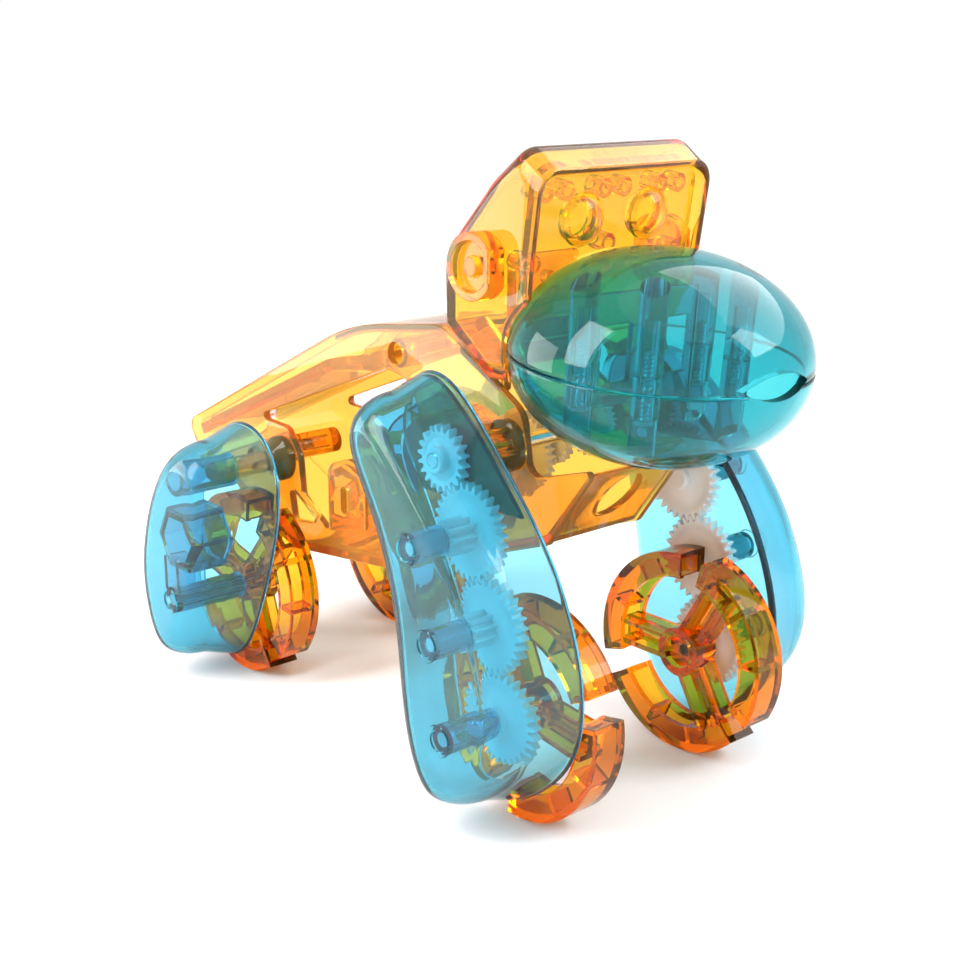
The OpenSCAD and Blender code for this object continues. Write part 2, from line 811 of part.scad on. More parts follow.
module front_leg_shell() {
  idler_from = idler_out + 0.3;
  foot_from = gear_out + short_hub + 0.3;
  color(teal) difference() {
    union() {
      leg_dish(front_leg_line);
      leg_boss(upper_axis, idler_from);
      leg_boss(lower_axis, idler_from);
      leg_boss(foot_axis, foot_from);
    }
    leg_bore(upper_axis, idler_from, axle_r);
    leg_bore(lower_axis, idler_from, axle_r);
    leg_bore(foot_axis, foot_from, axle_r + play);
  }
}

module front_leg_shell_right() {
  place() on_right() front_leg_shell();
}

module front_leg_shell_left() {
  place() front_leg_shell();
}

// Plate across the open top of the leg, which ties it to the shoulder collar
module shoulder_plate() {
  thick = 1.3;
  color(teal) difference() {
    across(leg_rim + 0.1) linear_extrude(thick) intersection() {
      polygon(inward(smooth(front_leg_line), leg_wall + 0.35));
      translate([-40, 61.5]) square([100, 60]);
    }
    across(0, drive_axis) cylinder(r = axle_r + play, h = 60);
  }
}

module shoulder_plate_right() {
  place() on_right() shoulder_plate();
}

module shoulder_plate_left() {
  place() shoulder_plate();
}

// Flanged tube round the drive axle, from the body to the leg
module shoulder_collar() {
  length = leg_rim + 0.1 - body_half;
  bore = axle_r + play;
  color(amber) across(body_half, drive_axis) {
    difference() {
      union() {
        rotate_extrude() polygon([[bore, 0], [5.4, 0], [5.4, 1.6], [3.6, 3.2], [3.6, length - 3],
          [6, length - 1.4], [6, length], [bore, length]]);
        for (a = [0 : 60 : 300]) rotate(a) translate([3, -0.6, 1.2]) cube([1.9, 1.2, length - 2.4]);
      }
      translate([0, 0, -1]) cylinder(r = bore, h = length + 2);
    }
  }
}

module shoulder_collar_right() {
  place() on_right() shoulder_collar();
}

module shoulder_collar_left() {
  place() shoulder_collar();
}

module rear_leg_shell() {
  hip_from = leg_rim + 1.4;
  axle_from = pad_in + pad_w + 0.2;
  hex_mid = [95, 37];
  color(teal) difference() {
    union() {
      leg_dish(rear_leg_line);
      leg_boss(rear_axis, axle_from);
      // Socket for the hip peg
      across(hip_from, hip_axis) tube(6.4, 4.6, crown_x - hip_from - leg_wall + 0.4);
      // Six-sided socket beside it
      across(crown_x - 11, hex_mid) difference() {
        cylinder(r = 8, h = 11 - leg_wall + 0.7, $fn = 6);
        translate([0, 0, -1]) cylinder(r = 5.6, h = 20, $fn = 6);
      }
      // Ribs from the socket to the axle boss
      for (t = [-3.2, 2]) across(crown_x - 8, rear_axis + [t, 2]) linear_extrude(8 - leg_wall + 0.5)
        square([1.2, 8]);
    }
    leg_bore(rear_axis, axle_from, axle_r);
  }
}

module rear_leg_shell_right() {
  place() on_right() rear_leg_shell();
}

module rear_leg_shell_left() {
  place() rear_leg_shell();
}

// Peg that carries the rear leg on the side of the body
module hip_peg() {
  reach = crown_x - leg_edge - body_half;
  color(amber) across(body_half, hip_axis) rotate_extrude()
    polygon([[0, 0], [5.4, 0], [5.4, 2], [4.5, 3.2], [4.5, reach - 1], [3.6, reach], [0, reach]]);
}

module hip_peg_right() {
  place() on_right() hip_peg();
}

module hip_peg_left() {
  place() hip_peg();
}

// Pins of the two idlers, pressed into the leg, with heads that keep the gears on
module idler_pins() {
  color(steel) for (p = [upper_axis, lower_axis]) {
    across(gear_face - 0.1 - pin_head, p) cylinder(r = 2.5, h = pin_head);
    across(gear_face - 0.2, p) cylinder(r = axle_r, h = crown_x - leg_wall - gear_face + 0.2);
  }
}

module idler_pins_right() {
  place() on_right() idler_pins();
}

module idler_pins_left() {
  place() idler_pins();
}

body_side_right();
body_side_left();
back_cover();
solar_tray();
solar_cell();
belly_plate();
chest_plate();
neck_bracket();
head_shell();
face_plate();
eye_right();
eye_left();
ear_right();
ear_left();
muzzle_upper();
muzzle_lower();
muzzle_screws();
body_screws();
motor_can();
motor_end_cap();
motor_cradle();
motor_pinion();
reduction_gear_first();
reduction_gear_second();
reduction_pins();
drive_axle();
axle_gear();
top_gear_right();
top_gear_left();
upper_idler_right();
upper_idler_left();
lower_idler_right();
lower_idler_left();
foot_gear_right();
foot_gear_left();
front_axle_right();
front_axle_left();
front_foot_right();
front_foot_left();
rear_foot_right();
rear_foot_left();
rear_axle_right();
rear_axle_left();
rear_axle_caps();
front_leg_shell_right();
front_leg_shell_left();
shoulder_plate_right();
shoulder_plate_left();
shoulder_collar_right();
shoulder_collar_left();
rear_leg_shell_right();
rear_leg_shell_left();
hip_peg_right();
hip_peg_left();
idler_pins_right();
idler_pins_left();
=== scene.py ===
"""Clear amber and teal gorilla toy with white gears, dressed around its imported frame."""
import json

import bmesh
import bpy
import numpy as np
from bpy.props import FloatProperty, FloatVectorProperty, PointerProperty
from mathutils import Matrix, Vector

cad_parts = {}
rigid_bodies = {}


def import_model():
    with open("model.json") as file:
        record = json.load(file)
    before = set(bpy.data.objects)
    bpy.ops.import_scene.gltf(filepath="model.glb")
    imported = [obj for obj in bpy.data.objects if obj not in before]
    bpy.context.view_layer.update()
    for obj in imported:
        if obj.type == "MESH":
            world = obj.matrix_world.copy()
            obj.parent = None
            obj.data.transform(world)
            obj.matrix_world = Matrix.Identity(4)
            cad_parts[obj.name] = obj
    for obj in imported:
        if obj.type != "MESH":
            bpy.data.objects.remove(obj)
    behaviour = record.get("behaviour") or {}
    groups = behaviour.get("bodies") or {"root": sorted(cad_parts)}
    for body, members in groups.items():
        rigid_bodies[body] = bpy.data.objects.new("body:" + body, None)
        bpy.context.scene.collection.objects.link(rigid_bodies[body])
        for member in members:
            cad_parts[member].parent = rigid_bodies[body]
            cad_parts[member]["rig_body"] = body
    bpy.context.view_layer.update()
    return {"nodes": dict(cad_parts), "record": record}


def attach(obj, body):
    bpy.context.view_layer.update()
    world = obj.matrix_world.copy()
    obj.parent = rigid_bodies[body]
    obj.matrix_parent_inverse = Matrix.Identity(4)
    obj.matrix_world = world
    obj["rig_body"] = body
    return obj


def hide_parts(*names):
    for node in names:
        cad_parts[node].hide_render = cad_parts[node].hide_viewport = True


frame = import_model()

bl_info = {
    "name": "Walking gorilla toy",
    "version": (1, 0, 0),
    "blender": (4, 5, 0),
    "location": "3D View > Sidebar > Toy",
    "description": "Builds the clear shells, gears and feet of a walking toy around its frame",
    "category": "Object",
}

MM = 0.001
# Distance from the front foot axle, where lengths below are measured from, to the frame's origin
MIDDLE_Y = 51.34
SIDES = {"right": -1.0, "left": 1.0}

# Outlines of the leg rims as (y, z) points of a smooth closed curve
FRONT_LEG = [
    (4.5, 2.3), (13.5, 9.5), (18, 24), (20.2, 42), (26, 58), (33, 70), (31.5, 80.5), (22.5, 85.8),
    (12, 80), (0.5, 68.5), (-10.8, 55), (-17.5, 40), (-19.2, 26.5), (-15, 15), (-6, 7)]
REAR_LEG = [
    (104.5, 1.9), (113.5, 8), (117.5, 20), (117.3, 31), (113.5, 43), (106.5, 54.5), (97, 61.5),
    (86.5, 61.5), (79.8, 55), (78.6, 45.5), (82, 32), (87.3, 19.5), (94.5, 7)]
# Corners of the body side and of the openings in it, as (y, z, radius)
SIDE_LINE = [
    (142.5, 51.6, 3), (70, 86.4, 70), (38.5, 90.6, 9), (13.2, 76.5, 6), (11.2, 63.6, 3), (-6.8, 68.9, 1),
    (6, 51, 1.5), (54, 33.2, 12), (96, 28.2, 16), (138, 45.4, 5)]
WINDOW_LINE = [
    (109.5, 58.6, 1), (57, 78.4, 2), (47, 77, 6), (46, 52.5, 4), (61.5, 49, 2), (63.2, 53.4, 4),
    (71.3, 55.4, 6), (79.8, 52.5, 4), (79.8, 36.2, 0.8), (90.4, 42.66, 2), (91.2, 52, 4), (96, 58.2, 3)]
GUSSET_LINE = [(95.6, 43.8, 1), (84.2, 36.9, 0.8), (94.2, 35.6, 1)]
LEG_RIM, CROWN_X, LEG_WALL = 27.3, 45.9, 1.8
# Faces of the body sides and of the feet, from the middle plane
SIDE_IN, SIDE_OUT, FOOT_IN = 11.7, 13.5, 19.3
AXLE_R = 1.5
GEAR_FACE = 29.1
FOOT_AXIS = np.array([0.0, 21.8])
LEG_PITCH = 18.0
LEG_MODULE, BODY_MODULE = 0.6, 0.5
PINION_TEETH = 10


def aside(start, length, degrees):
    """Point at a length and an angle from start, in the (y, z) plane."""
    a = np.radians(degrees)
    return start + length * np.array([np.cos(a), np.sin(a)])


LOWER_AXIS = aside(FOOT_AXIS, LEG_PITCH, 78.5)
UPPER_AXIS = aside(LOWER_AXIS, LEG_PITCH, 71.5)
DRIVE_AXIS = aside(UPPER_AXIS, 15.0, 58.5)
REAR_AXIS = np.array([98.0, 21.8])
HIP_AXIS = np.array([97.5, 50.5])
HEX_MID = np.array([95.0, 37.0])
MUZZLE_MID = np.array([0.0, -9.8, 89.4])
MUZZLE_TILT = 4.5
MUZZLE_R, MUZZLE_H = 28.7, 20.2
MUZZLE_POSTS = ((-16.3, -5.6), (16.3, -5.6), (-12.2, -18.2), (12.2, -18.2))
BODY_POSTS = ((53.4, 82.2), (112, 48), (47, 44))
FACE_PIVOT = np.array([0.0, 1.0, 114.0])
FACE_LEAN = 8.5
SECOND_AXIS = aside(DRIVE_AXIS, 8.0, -20)
FIRST_AXIS = aside(SECOND_AXIS, 8.0, -35)
MOTOR_AXIS = aside(FIRST_AXIS, 11.5, -15)
FOOT_TURN = {"front_foot_right": -5, "front_foot_left": 60, "rear_foot_right": 48, "rear_foot_left": 18}


def heading(a, b):
    """Direction from one axis to another, in degrees."""
    return np.degrees(np.arctan2(b[1] - a[1], b[0] - a[0]))


def mesh_turn(a, turn_a, teeth_a, b, teeth_b):
    """Turn that brings gear b into mesh with gear a, whose own turn is given."""
    return heading(b, a) + 180 / teeth_b - (turn_a - heading(a, b)) * teeth_a / teeth_b


# Shapes

def closed_curve(points, steps):
    """Smooth closed curve through points: on each span, the cubic whose slope at a point is half
    the way from the point before to the point after."""
    p = np.asarray(points, float)
    t = (np.arange(steps) / steps)[None, :, None]
    a, b, c, d = (np.roll(p, s, axis=0)[:, None] for s in (1, 0, -1, -2))
    q = 2 * b + t * (c - a) + t**2 * (2 * a - 5 * b + 4 * c - d) + t**3 * (3 * b - a - 3 * c + d)
    return (0.5 * q).reshape(-1, 2)


def leg_curve(points, count=256, waves=9):
    """Smooth closed curve through points, stepped evenly and freed of ripples shorter than its first few
    waves, so that no bend is tighter than the leg's rounded edge."""
    curve = closed_curve(points, 16)
    ahead = np.vstack([curve, curve[:1]])
    run = np.concatenate([[0], np.cumsum(np.linalg.norm(np.diff(ahead, axis=0), axis=1))])
    at = np.linspace(0, run[-1], count, endpoint=False)
    z = np.interp(at, run, ahead[:, 0]) + 1j * np.interp(at, run, ahead[:, 1])
    n = np.abs(np.fft.fftfreq(count, 1 / count))
    z = np.fft.ifft(np.fft.fft(z) * np.exp(-(n / waves)**4))
    return np.column_stack([z.real, z.imag])


def fillets(corners, steps):
    """Arcs that round the corners of a closed outline, each corner given as (y, z, radius): the arc's middle
    lies on the line that halves the corner."""
    p = np.asarray(corners, float)
    xy, r = p[:, :2], p[:, 2:]
    back, ahead = np.roll(xy, 1, axis=0) - xy, np.roll(xy, -1, axis=0) - xy
    back /= np.linalg.norm(back, axis=1, keepdims=True)
    ahead /= np.linalg.norm(ahead, axis=1, keepdims=True)
    half = np.arccos(np.clip((back * ahead).sum(axis=1, keepdims=True), -1, 1)) / 2
    split = back + ahead
    mid = xy + split / np.linalg.norm(split, axis=1, keepdims=True) * r / np.sin(half)
    first, last = xy + back * r / np.tan(half) - mid, xy + ahead * r / np.tan(half) - mid
    start = np.arctan2(first[:, 1], first[:, 0])
    sweep = (np.arctan2(last[:, 1], last[:, 0]) - start + np.pi) % (2 * np.pi) - np.pi
    a = start[:, None] + sweep[:, None] * np.linspace(0, 1, steps + 1)
    return mid[:, None] + r[:, None] * np.stack([np.cos(a), np.sin(a)], axis=-1)


def outline(corners, steps=12):
    """Closed outline with rounded corners."""
    return fillets(corners, steps).reshape(-1, 2)


def path(corners, steps=12):
    """Open line with rounded corners between its two end points."""
    p = np.asarray(corners, float)
    return np.concatenate([p[:1, :2], fillets(p, steps)[1:-1].reshape(-1, 2), p[-1:, :2]])


def quarter(edge, arcs=5):
    """Quarter circle at a plate's rim: depths inside the outline, and depths under the plate's face."""
    a = np.linspace(0, np.pi / 2, arcs)
    return edge * (1 - np.sin(a)), edge * (1 - np.cos(a))


def plate(line, low, high, edge=0.35):
    """Flat plate across the toy with a (y, z) outline, its rims rounded through quarter circles."""
    depth, sink = quarter(edge)
    x = np.concatenate([low + sink, (high - sink)[::-1]])
    return stacked(line, np.concatenate([depth, depth[::-1]]), x)


def opening(line, low, high, edge=0.35):
    """Cutter for an opening through a plate, flared at both faces so that the cut's rims come out round."""
    depth, sink = quarter(edge)
    x = np.concatenate([[low - 1], low + sink, (high - sink)[::-1], [high + 1]])
    return stacked(line, -np.concatenate([[edge], depth, depth[::-1], [edge]]), x)


def stacked(line, depths, x):
    """Closed skin over an outline moved inwards by each depth, on the plane of each x."""
    curves = inset(line, depths)
    planes = np.broadcast_to(np.reshape(x, (-1, 1, 1)), curves.shape[:2] + (1,))
    return loft(np.concatenate([planes, curves], axis=-1))


def inset(curve, depths, closed=True):
    """Curve moved to its left along its normals, once for each depth: an array of curves. The left of a
    closed counter-clockwise curve is its inside."""
    t = np.roll(curve, -1, axis=0) - np.roll(curve, 1, axis=0) if closed else np.gradient(curve, axis=0)
    t /= np.linalg.norm(t, axis=1, keepdims=True)
    normal = np.stack([-t[:, 1], t[:, 0]], axis=1)
    return curve[None] + np.asarray(depths, float)[:, None, None] * normal[None]


def tube_faces(rows, count, wrap):
    """Quads between neighbouring rings of a rows by count grid, whose rings close on themselves."""
    k = np.arange(rows if wrap else rows - 1)[:, None]
    i = np.arange(count)[None, :]
    j, m = (i + 1) % count, (k + 1) % rows
    return np.stack([k * count + i, k * count + j, m * count + j, m * count + i], axis=-1).reshape(-1, 4)


def loft(rings):
    """Closed skin over rings of points: quads from ring to ring, and a flat face at each end."""
    rings = np.asarray(rings, float)
    rows, count = rings.shape[:2]
    faces = tube_faces(rows, count, False).tolist()
    faces += [list(range(count - 1, -1, -1)), list(range((rows - 1) * count, rows * count))]
    return rings.reshape(-1, 3), faces


def revolve(profile, turns=64):
    """Profile of (radius, height) points carried round the height axis. Ends at radius 0 close in a pole,
    and a profile with no such ends closes on itself, as a tube's does."""
    p = np.asarray(profile, float)
    first, last = p[0, 0] == 0, p[-1, 0] == 0
    body = p[int(first):len(p) - int(last)]
    a = np.linspace(0, 2 * np.pi, turns, endpoint=False)
    r, h = body[:, :1], body[:, 1:]
    grid = np.stack(np.broadcast_arrays(r * np.cos(a), r * np.sin(a), h), axis=-1)
    return capped(grid, p[0, 1] if first else None, p[-1, 1] if last else None)


def capped(grid, low=None, high=None):
    """Skin over rings round the height axis, closed by a fan to a point on the axis at each given height."""
    rows, turns = grid.shape[:2]
    verts = [grid.reshape(-1, 3)]
    faces = tube_faces(rows, turns, low is None and high is None).tolist()
    i = np.arange(turns)
    j = (i + 1) % turns
    tip = rows * turns
    for height, start, order in ((low, 0, (j, i)), (high, (rows - 1) * turns, (i, j))):
        if height is None:
            continue
        verts.append([(0, 0, height)])
        faces += np.stack([start + order[0], start + order[1], np.full(turns, tip)], axis=1).tolist()
        tip += 1
    return np.concatenate(verts), faces


def gear(teeth, module, rows, turn=0.0, **tooth):
    """Gear about the height axis. Each row of its section is ("teeth", inset, height), the toothed outline
    moved in by the inset, or ("round", radius, height), a plain circle, or ("pinion", inset, height), the
    smaller outline of the pinion on the same wheel. The section closes on itself at the bore."""
    theta, radii = gear_outline(teeth, module, **tooth)
    small_theta, small = gear_outline(PINION_TEETH, module, **tooth)
    pinion = np.interp(theta, small_theta, small, period=2 * np.pi)
    kinds = {"teeth": lambda d: radii - d, "round": lambda d: np.full_like(radii, d),
             "pinion": lambda d: pinion - d}
    r = np.stack([kinds[kind](d) for kind, d, _ in rows])
    h = np.array([height for _, _, height in rows], float)[:, None]
    a = theta + np.radians(turn)
    return capped(np.stack(np.broadcast_arrays(r * np.cos(a), r * np.sin(a), h), axis=-1))


def merged(*shapes):
    """Several closed shapes as one list of points and faces."""
    verts, faces, base = [], [], 0
    for v, f in shapes:
        verts.append(np.asarray(v, float))
        faces += [[base + i for i in face] for face in outward(v, f)]
        base += len(v)
    return np.concatenate(verts), faces


def spun(shape, degrees):
    """Shape turned about the height axis."""
    a = np.radians(degrees)
    turn = np.array([[np.cos(a), -np.sin(a), 0], [np.sin(a), np.cos(a), 0], [0, 0, 1]])
    return np.asarray(shape[0], float) @ turn.T, shape[1]


def swept_arc(section, start, sweep, steps=36):
    """Closed section of (radius, height) points carried round an arc of the height axis, with flat ends."""
    p = np.asarray(section, float)
    a = np.radians(start + sweep * np.linspace(0, 1, steps + 1))[:, None]
    return loft(np.stack(np.broadcast_arrays(p[:, 0] * np.cos(a), p[:, 0] * np.sin(a), p[:, 1]), axis=-1))


def rod(radius, length, chamfer=0.25):
    """Section of a round rod with chamfered ends."""
    return [(0, 0), (radius - chamfer, 0), (radius, chamfer), (radius, length - chamfer),
            (radius - chamfer, length), (0, length)]


def screw(head_r, shank_r, length, pitch=0.8):
    """Self-tapping screw pointing up. Its shank's radius follows a saw wave of height and turn, and the domed
    head sinks by a cross-shaped depth."""
    turns = 72
    a = np.linspace(0, 2 * np.pi, turns, endpoint=False)[None]
    h = np.linspace(length - 0.8, 0.2, 160)[:, None]
    wave = np.abs(((h / pitch - a / (2 * np.pi)) % 1.0) * 2 - 1)
    shank_radius = shank_r - 0.32 * wave
    rho = np.concatenate([[shank_r, head_r - 0.15], np.linspace(head_r, 0.05, 22)])[:, None]
    dome = 2.2 - np.sqrt(3.6**2 - np.minimum(rho, 3.5)**2)
    dome[:2] = 0.0
    x, y = np.abs(rho * np.cos(a)), np.abs(rho * np.sin(a))
    near = lambda v, edge: np.clip((edge - v) / 0.12 + 0.5, 0, 1)
    cross = np.maximum(near(x, 0.32) * near(y, 0.62 * head_r), near(y, 0.32) * near(x, 0.62 * head_r))
    cross[:3] = 0.0
    height = np.concatenate([np.broadcast_to(h, shank_radius.shape), dome + 0.8 * cross])
    radius = np.concatenate([shank_radius, np.broadcast_to(rho, cross.shape)])
    grid = np.stack([radius * np.cos(a), radius * np.sin(a), height], axis=-1)
    return capped(grid, length, float(dome[-1, 0] + 0.8))


def on_axis(verts, axis, side=1.0, x=0.0):
    """Stands a shape made round +Z on an axis that runs across the toy, growing away from the middle."""
    v = np.asarray(verts, float)
    return np.stack([side * (x + v[:, 2]), axis[0] + v[:, 0], axis[1] + v[:, 1]], axis=1)


def on(shape, axis, x):
    """Shape made round +Z, stood on an axis of the toy's left side."""
    return on_axis(shape[0], axis, 1.0, x), shape[1]


def mirrored(shape, sign):
    """Shape of the left side, or its mirror image on the right."""
    return np.asarray(shape[0], float) * (sign, 1, 1), shape[1]


def turned(verts, degrees, about):
    """Points turned round an axis parallel to X through the point about."""
    a = np.radians(degrees)
    v = np.asarray(verts, float) - about
    turn = np.array([[1, 0, 0], [0, np.cos(a), -np.sin(a)], [0, np.sin(a), np.cos(a)]])
    return v @ turn.T + about


def block(low, high):
    """Box between two corners."""
    low, high = np.asarray(low, float), np.asarray(high, float)
    ring = np.array([[0, 0], [1, 0], [1, 1], [0, 1]])
    rings = np.stack([np.column_stack([ring, np.full(4, h)]) for h in (0, 1)])
    verts, faces = loft(rings)
    return low + verts * (high - low), faces


def egg(grow, turns=128, rows=64):
    """Egg of the muzzle, grown by some clearance: a circle whose radius follows a half ellipse from pole to
    pole."""
    a = np.linspace(-np.pi / 2, np.pi / 2, rows + 1)
    section = np.column_stack([(MUZZLE_R + grow) * np.cos(a), (MUZZLE_H + grow) * np.sin(a)])
    section[[0, -1], 0] = 0
    verts, faces = revolve(section, turns)
    return in_muzzle(verts), faces


def in_muzzle(verts):
    """Points given from the muzzle's middle, tilted with it and set in place."""
    return turned(np.asarray(verts, float) + MUZZLE_MID, MUZZLE_TILT, MUZZLE_MID)


def dish(points, wall=1.8, draft=2.6, edge=6.4, reach=10.0, arcs=11):
    """Deep dish over a closed outline. From the crown the outer wall bends through a quarter ellipse, leans
    out to the rim, turns over a flat lip with rounded edges and comes back inside at the wall's thickness."""
    line = leg_curve(points)
    a = np.linspace(0, np.pi / 2, arcs)
    lip = np.linspace(0, np.pi / 2, 4)
    lip_r = 0.3
    turn = lip_r * (1 - np.cos(lip))
    depth = np.concatenate([(draft + edge * (1 - np.cos(a)))[::-1], turn, wall - turn[::-1],
                            draft + wall + (edge - wall) * (1 - np.cos(a))])
    fall = LEG_RIM + lip_r * (1 - np.sin(lip))
    x = np.concatenate([(CROWN_X - reach * (1 - np.sin(a)))[::-1], fall, fall[::-1],
                        CROWN_X - reach + (reach - wall) * np.sin(a)])
    return stacked(line, depth, x)


def involute(a):
    """Angle by which an involute has turned where its pressure angle is a."""
    return np.tan(a) - a


def gear_outline(teeth, module, addendum=1.0, angle=20.0, backlash=0.14, flank=5):
    """Polar outline of a spur gear, as angles and radii: each tooth is narrowed from its pitch width by the
    involute of the pressure angle, from the root to the tip."""
    pitch = teeth * module / 2
    base = pitch * np.cos(np.radians(angle))
    flanks = np.linspace(pitch - 0.9 * module, pitch + addendum * module, flank)
    r = np.concatenate([[pitch - 1.25 * module], flanks])
    half_pitch = (np.pi * module / 2 - backlash) / 2 / pitch + involute(np.radians(angle))
    half = half_pitch - np.where(r > base, involute(np.arccos(np.minimum(1, base / r))), 0)
    half[0] += 0.25 * (np.pi / teeth - half[0])
    theta = np.concatenate([-half, half[::-1]])
    radii = np.concatenate([r, r[::-1]])
    tooth = 2 * np.pi * np.arange(teeth)[:, None] / teeth
    return (tooth + theta[None]).ravel(), np.tile(radii, teeth)


# Meshes

def outward(verts, faces):
    """Faces turned round, if need be, so that the volume they close is positive."""
    v = np.asarray(verts, float)
    fans = np.array([(f[0], f[i], f[i + 1]) for f in faces for i in range(1, len(f) - 1)])
    a, b, c = v[fans[:, 0]], v[fans[:, 1]], v[fans[:, 2]]
    if np.einsum("ij,ij->", a, np.cross(b, c)) < 0:
        return [f[::-1] for f in faces]
    return faces


def mesh_object(name, shape):
    """Object at the origin from a shape in millimetres from the front foot axle."""
    verts, faces = shape
    verts = np.asarray(verts, float)
    mesh = bpy.data.meshes.new(name)
    mesh.from_pydata(((verts - (0, MIDDLE_Y, 0)) * MM).tolist(), [], outward(verts, faces))
    mesh.validate()
    obj = bpy.data.objects.new(name, mesh)
    bpy.context.scene.collection.objects.link(obj)
    return obj


def combine(obj, tools, operation):
    """Joins or cuts an object with other closed shapes or objects, one after another, and uses those up."""
    for tool in tools:
        if not isinstance(tool, bpy.types.Object):
            tool = mesh_object("tool", tool)
        cut = obj.modifiers.new("cut", "BOOLEAN")
        cut.operation, cut.object, cut.solver = operation, tool, "MANIFOLD"
        applied(obj)
        bpy.data.objects.remove(tool)
    return obj


def applied(obj):
    """Replaces an object's mesh by what its modifiers make of it."""
    made = bpy.data.meshes.new_from_object(obj.evaluated_get(bpy.context.evaluated_depsgraph_get()))
    old = obj.data
    obj.modifiers.clear()
    obj.data = made
    bpy.data.meshes.remove(old)
    made.name = obj.name
    return obj


def cleaned(obj):
    """Joins points that cuts leave a hair apart, and makes flat faces whole."""
    bm = bmesh.new()
    bm.from_mesh(obj.data)
    bmesh.ops.remove_doubles(bm, verts=bm.verts, dist=0.01 * MM)
    bmesh.ops.dissolve_degenerate(bm, edges=bm.edges, dist=0.005 * MM)
    bmesh.ops.dissolve_limit(bm, angle_limit=np.radians(0.2), verts=bm.verts, edges=bm.edges)
    bm.to_mesh(obj.data)
    bm.free()
    return obj


def shade(obj, degrees=32):
    """Smooth shading, with edges sharper than an angle left sharp."""
    obj.data.shade_smooth()
    obj.data.set_sharp_from_angle(angle=np.radians(degrees))
    return obj


def rounded(obj, width):
    """Rounds the sharp edges by a small radius, in millimetres."""
    bevel = obj.modifiers.new("round", "BEVEL")
    bevel.width, bevel.segments = width * MM, 2
    bevel.limit_method, bevel.angle_limit = "ANGLE", np.radians(38)
    bevel.harden_normals = True
    bevel.miter_outer = "MITER_ARC"
    return obj


def node_copy(node):
    """Merged copy of a frame node's mesh, with its flat faces made whole."""
    obj = bpy.data.objects.new(node + "_piece", frame["nodes"][node].data.copy())
    bpy.context.scene.collection.objects.link(obj)
    obj.data.materials.clear()
    bm = bmesh.new()
    bm.from_mesh(obj.data)
    bmesh.ops.remove_doubles(bm, verts=bm.verts, dist=2e-6)
    bmesh.ops.dissolve_limit(bm, angle_limit=np.radians(0.6), verts=bm.verts, edges=bm.edges)
    bm.to_mesh(obj.data)
    bm.free()
    if "custom_normal" in obj.data.attributes:
        obj.data.attributes.remove(obj.data.attributes["custom_normal"])
    return obj


# Materials

class Wire:
    """A socket of a node tree. Arithmetic on wires adds Math nodes, and node() adds any other node."""

    def __init__(self, tree, socket=None):
        self.tree, self.socket = tree, socket

    def node(self, kind, settings=None, inputs=None, out=0):
        """Adds a node of a type, sets its settings first, then its sockets' values or links."""
        made = self.tree.nodes.new(kind)
        for key, value in (settings or {}).items():
            setattr(made, key, value)
        for key, value in (inputs or {}).items():
            if isinstance(value, Wire):
                self.tree.links.new(value.socket, made.inputs[key])
            else:
                made.inputs[key].default_value = value
        return Wire(self.tree, made.outputs[out] if len(made.outputs) else None)

    def math(self, operation, a, b=0.0):
        return self.node("ShaderNodeMath", {"operation": operation}, {0: a, 1: b})

    def __add__(self, other):
        return self.math("ADD", self, other)

    def __sub__(self, other):
        return self.math("SUBTRACT", self, other)

    def __rsub__(self, other):
        return self.math("SUBTRACT", other, self)

    def __mul__(self, other):
        return self.math("MULTIPLY", self, other)

    __radd__ = __add__
    __rmul__ = __mul__


def new_material(name):
    """Empty node material and a wire to build it with."""
    mat = bpy.data.materials.new(name)
    mat.use_nodes = True
    mat.node_tree.nodes.clear()
    return mat, Wire(mat.node_tree)


def surface(wire, shader, volume=None):
    inputs = {"Surface": shader}
    if volume is not None:
        inputs["Volume"] = volume
    wire.node("ShaderNodeOutputMaterial", None, inputs)


def noise(wire, place, scale, detail):
    return wire.node("ShaderNodeTexNoise", {"noise_dimensions": "3D"},
                     {"Vector": place, "Scale": scale, "Detail": detail, "Roughness": 0.5})


def ramp(wire, value, low, high, out_low=0.0, out_high=1.0):
    return wire.node("ShaderNodeMapRange", {"clamp": True}, {
        "Value": value, "From Min": low, "From Max": high, "To Min": out_low, "To Max": out_high})


def blend(wire, factor, a, b):
    """Colour between two others, each a wire or three numbers."""
    ends = [end if isinstance(end, Wire) else (*end, 1) for end in (a, b)]
    return wire.node("ShaderNodeMix", {"data_type": "RGBA"}, {0: factor, 6: ends[0], 7: ends[1]}, out=2)


def scaled(colour, factor):
    return tuple(c * factor for c in colour)


def clear_plastic(name, base, tint, depth, clear=1.0):
    """Moulded clear plastic: a little light scatters at its skin in the base colour, and the rest goes
    through and is absorbed along its way. The skin has the mould's faint ripple and a little haze."""
    mat, w = new_material(name)
    place = w.node("ShaderNodeTexCoord", out=3)
    ripple = noise(w, place, 90.0, 2.0)
    haze = noise(w, place, 38.0, 4.0)
    bump = w.node("ShaderNodeBump", None, {"Strength": 0.05, "Distance": 0.0004, "Height": ripple})
    rough = ramp(w, haze, 0.4, 0.75, 0.0, 0.03)
    skin = w.node("ShaderNodeBsdfPrincipled", None, {
        "Base Color": (*base, 1.0), "Roughness": rough, "Normal": bump, "IOR": 1.3,
        "Transmission Weight": clear})
    volume = w.node("ShaderNodeVolumeAbsorption", None, {"Color": (*tint, 1.0), "Density": depth})
    surface(w, skin, volume)
    return mat


